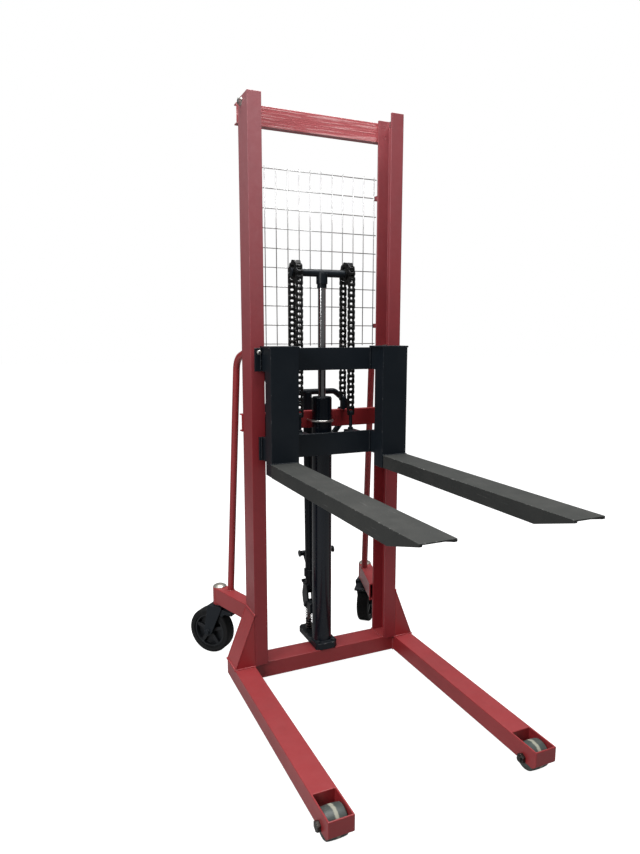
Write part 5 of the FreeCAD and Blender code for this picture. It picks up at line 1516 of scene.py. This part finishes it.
@dataclass
class Carriage(SubAssembly):
    """Carriage bars, fork shanks, forks and mast rollers."""

    tip_plate: float = 3.5 * MM
    tip_edge: float = 8.0 * MM
    tip_hollow: float = 60.0 * MM
    weld_inset: float = 4.0 * MM
    weld_radius: float = 2.6 * MM

    def welds(self) -> None:
        """Beads between the bars and the shanks, and across the heels of the forks."""
        paths = []
        lower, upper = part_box("carriage_lower_bar"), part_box("carriage_upper_bar")
        for side in Side:
            low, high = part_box("shank_" + side.value)
            edges = corner_box("shank_" + side.value, 1, True)
            for bar in (lower, upper):
                top = min(bar[1].z, high.z) - self.weld_inset
                for x in (edges[0].x, edges[1].x):
                    foot = bar[0].z + self.weld_inset
                    paths.append([Vector((x, bar[0].y, foot)), Vector((x, bar[0].y, top))])
            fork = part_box("fork_" + side.value)
            paths.append([Vector((fork[0].x, low.y, fork[1].z)), Vector((fork[1].x, low.y, fork[1].z))])
        self.weld("carriage_welds", paths, "carriage", BLACK, "black_paint", self.weld_radius)

    def hollow_tip(self, side: Side) -> None:
        """Thins the underside of a fork's tip between its two turned-down edges.

        Args:
            side: which fork.
        """
        fork = bpy.data.objects[f"fork_{side.value}_finished"]
        low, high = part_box("fork_" + side.value)
        size = Vector((high.x - low.x - 2 * self.tip_edge, self.tip_hollow * 2, self.tip_hollow))
        bm = bmesh.new()
        bmesh.ops.create_cube(bm, size=1.0)
        bmesh.ops.scale(bm, vec=size, verts=bm.verts)
        bmesh.ops.translate(bm, verts=bm.verts, vec=(
            (low.x + high.x) / 2.0, low.y, high.z - self.tip_plate - self.tip_hollow / 2.0))
        cutter = link_piece("tip_cutter", settled(bm, "tip_cutter"))
        modifier = fork.modifiers.new("tip", "BOOLEAN")
        modifier.operation = "DIFFERENCE"
        modifier.object = cutter
        fork.data = applied(fork)
        bpy.data.objects.remove(cutter)

    def build(self) -> None:
        """Makes the carriage."""
        for bar in ("carriage_upper_bar", "carriage_lower_bar"):
            self.dress(bar, BLACK, bevel=1.2 * MM, segments=3)
        for side in Side:
            self.dress("shank_" + side.value, BLACK, bevel=1.4 * MM, segments=3)
            self.dress("fork_" + side.value, FORK, bevel=1.6 * MM, segments=3)
            self.hollow_tip(side)
            for level in ("upper", "lower"):
                self.dress(f"{level}_mast_roller_{side.value}", STEEL, bevel=1.2 * MM)
        self.dress("roller_plates", BLACK, bevel=1.0 * MM)
        self.dress("front_chain_anchors", BLACK, bevel=0.7 * MM)
        self.welds()


@dataclass
class Pump(SubAssembly):
    """Base block, plunger with its spring, bracket and roller."""

    wire_radius: float = 1.5 * MM
    turns: float = 9.0

    def spring(self) -> None:
        """Return spring round the plunger, at the length of the CAD spring."""
        low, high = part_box("pump_spring")
        radius = (high.x - low.x) / 2.0 - self.wire_radius
        foot = Vector(((low.x + high.x) / 2.0, (low.y + high.y) / 2.0, low.z + self.wire_radius))
        coil = grown("pump_spring_coil", point_mesh("pump_spring_coil", [(0, 0, 0)]), MAKERS.coil, SPRING,
                     Turns=self.turns, Radius=radius, Height=high.z - low.z - 2 * self.wire_radius,
                     Wire_Radius=self.wire_radius, Foot=tuple(foot))
        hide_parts("pump_spring")
        blend_evenly(coil)
        self.report(coil)

    def build(self) -> None:
        """Makes the pump."""
        self.dress("base_block", BLACK, bevel=3.0 * MM, segments=4)
        self.dress("pump_plunger", STEEL, bevel=0.5 * MM)
        self.dress("pump_bracket", BLACK, bevel=1.0 * MM)
        self.dress("pump_roller", STEEL, bevel=0.8 * MM)
        self.spring()


@dataclass
class Tiller(SubAssembly):
    """Tiller with its hand loop, foot pedal and release linkage."""

    def build(self) -> None:
        """Makes the tiller."""
        self.dress("tiller", BLACK, bevel=0.6 * MM)
        self.dress("foot_pedal", BLACK, bevel=0.8 * MM)
        self.dress("release_handle", BLACK, bevel=0.7 * MM)
        self.dress("release_rod", BLACK, bevel=0.4 * MM)
        self.dress("valve_lever", BLACK, bevel=0.6 * MM)


# Studio ----------------------------------------------------------------------------------
@dataclass
class Softbox:
    """A square area light that looks at a point."""

    name: str
    place: Point
    target: Point
    size: float
    power: float

    def build(self) -> None:
        """Makes the light."""
        data = bpy.data.lights.new(self.name, "AREA")
        data.size = self.size
        data.energy = self.power
        lamp = bpy.data.objects.new(self.name, data)
        lamp.location = self.place
        look = Vector(self.target) - Vector(self.place)
        lamp.rotation_euler = look.to_track_quat("-Z", "Y").to_euler()
        bpy.context.scene.collection.objects.link(lamp)


@dataclass
class Studio:
    """Pale floor, soft light and the camera."""

    camera_place: Point = (-0.94524, -1.77287, 1.2498)
    camera_yaw: float = 23.94
    camera_pitch: float = -8.19
    lens: float = 27.05
    sensor_width: float = 36.0
    shift_y: float = 0.0025
    floor_half: float = 30.0
    sky: float = 0.13
    lights: tuple[Softbox, ...] = (
        Softbox("overhead_softbox", (0.0, -0.1, 4.6), (0.0, 0.0, 0.0), 2.6, 290.0),
        Softbox("left_softbox", (-4.2, -1.8, 2.8), (0.0, 0.0, 1.0), 2.2, 120.0),
    )

    def floor(self) -> None:
        """Large pale floor."""
        half = self.floor_half
        mesh = bpy.data.meshes.new("floor")
        mesh.from_pydata([(-half, -half, 0), (half, -half, 0), (half, half, 0), (-half, half, 0)], [],
                         [(0, 1, 2, 3)])
        mesh.materials.append(FLOOR.material())
        floor = link_piece("floor", mesh)

    def world(self) -> None:
        """White to the eye, dimmer as a light."""
        world = bpy.data.worlds.new("studio")
        bpy.context.scene.world = world
        world.use_nodes = True
        graph = Graph(world.node_tree)
        world.node_tree.nodes.clear()
        seen = graph.add("ShaderNodeLightPath").outputs["Is Camera Ray"]
        strength = graph.math("MULTIPLY_ADD", seen, 1.0 - self.sky, self.sky)
        light = graph.add("ShaderNodeBackground", {"Color": (1.0, 1.0, 1.0, 1.0), "Strength": strength})
        graph.add("ShaderNodeOutputWorld", {"Surface": light})

    def camera(self) -> None:
        """Camera at eye height, left of the forks."""
        data = bpy.data.cameras.new("camera")
        data.lens = self.lens
        data.sensor_width = self.sensor_width
        data.shift_y = self.shift_y
        camera = bpy.data.objects.new("camera", data)
        camera.location = self.camera_place
        yaw, pitch = math.radians(self.camera_yaw), math.radians(self.camera_pitch)
        ahead = Vector((math.sin(yaw) * math.cos(pitch), math.cos(yaw) * math.cos(pitch), math.sin(pitch)))
        camera.rotation_euler = ahead.to_track_quat("-Z", "Y").to_euler()
        bpy.context.scene.collection.objects.link(camera)
        bpy.context.scene.camera = camera

    def build(self) -> None:
        """Makes the studio."""
        self.floor()
        self.world()
        self.camera()
        for light in self.lights:
            light.build()
        bpy.context.scene.view_settings.view_transform = "Standard"


def main() -> None:
    """Builds every sub-assembly in order."""
    logging.basicConfig(level=logging.INFO, format="%(message)s")
    Studio().build()
    for part in (Mast(), Base(), RearCorners(), LiftCylinder(), LiftChains(), Carriage(), Pump(), Tiller(),
                 Fasteners()):
        part.build()
        LOG.info("%s: %d pieces", type(part).__name__, len(part.made))


if __name__ == "__main__":
    main()
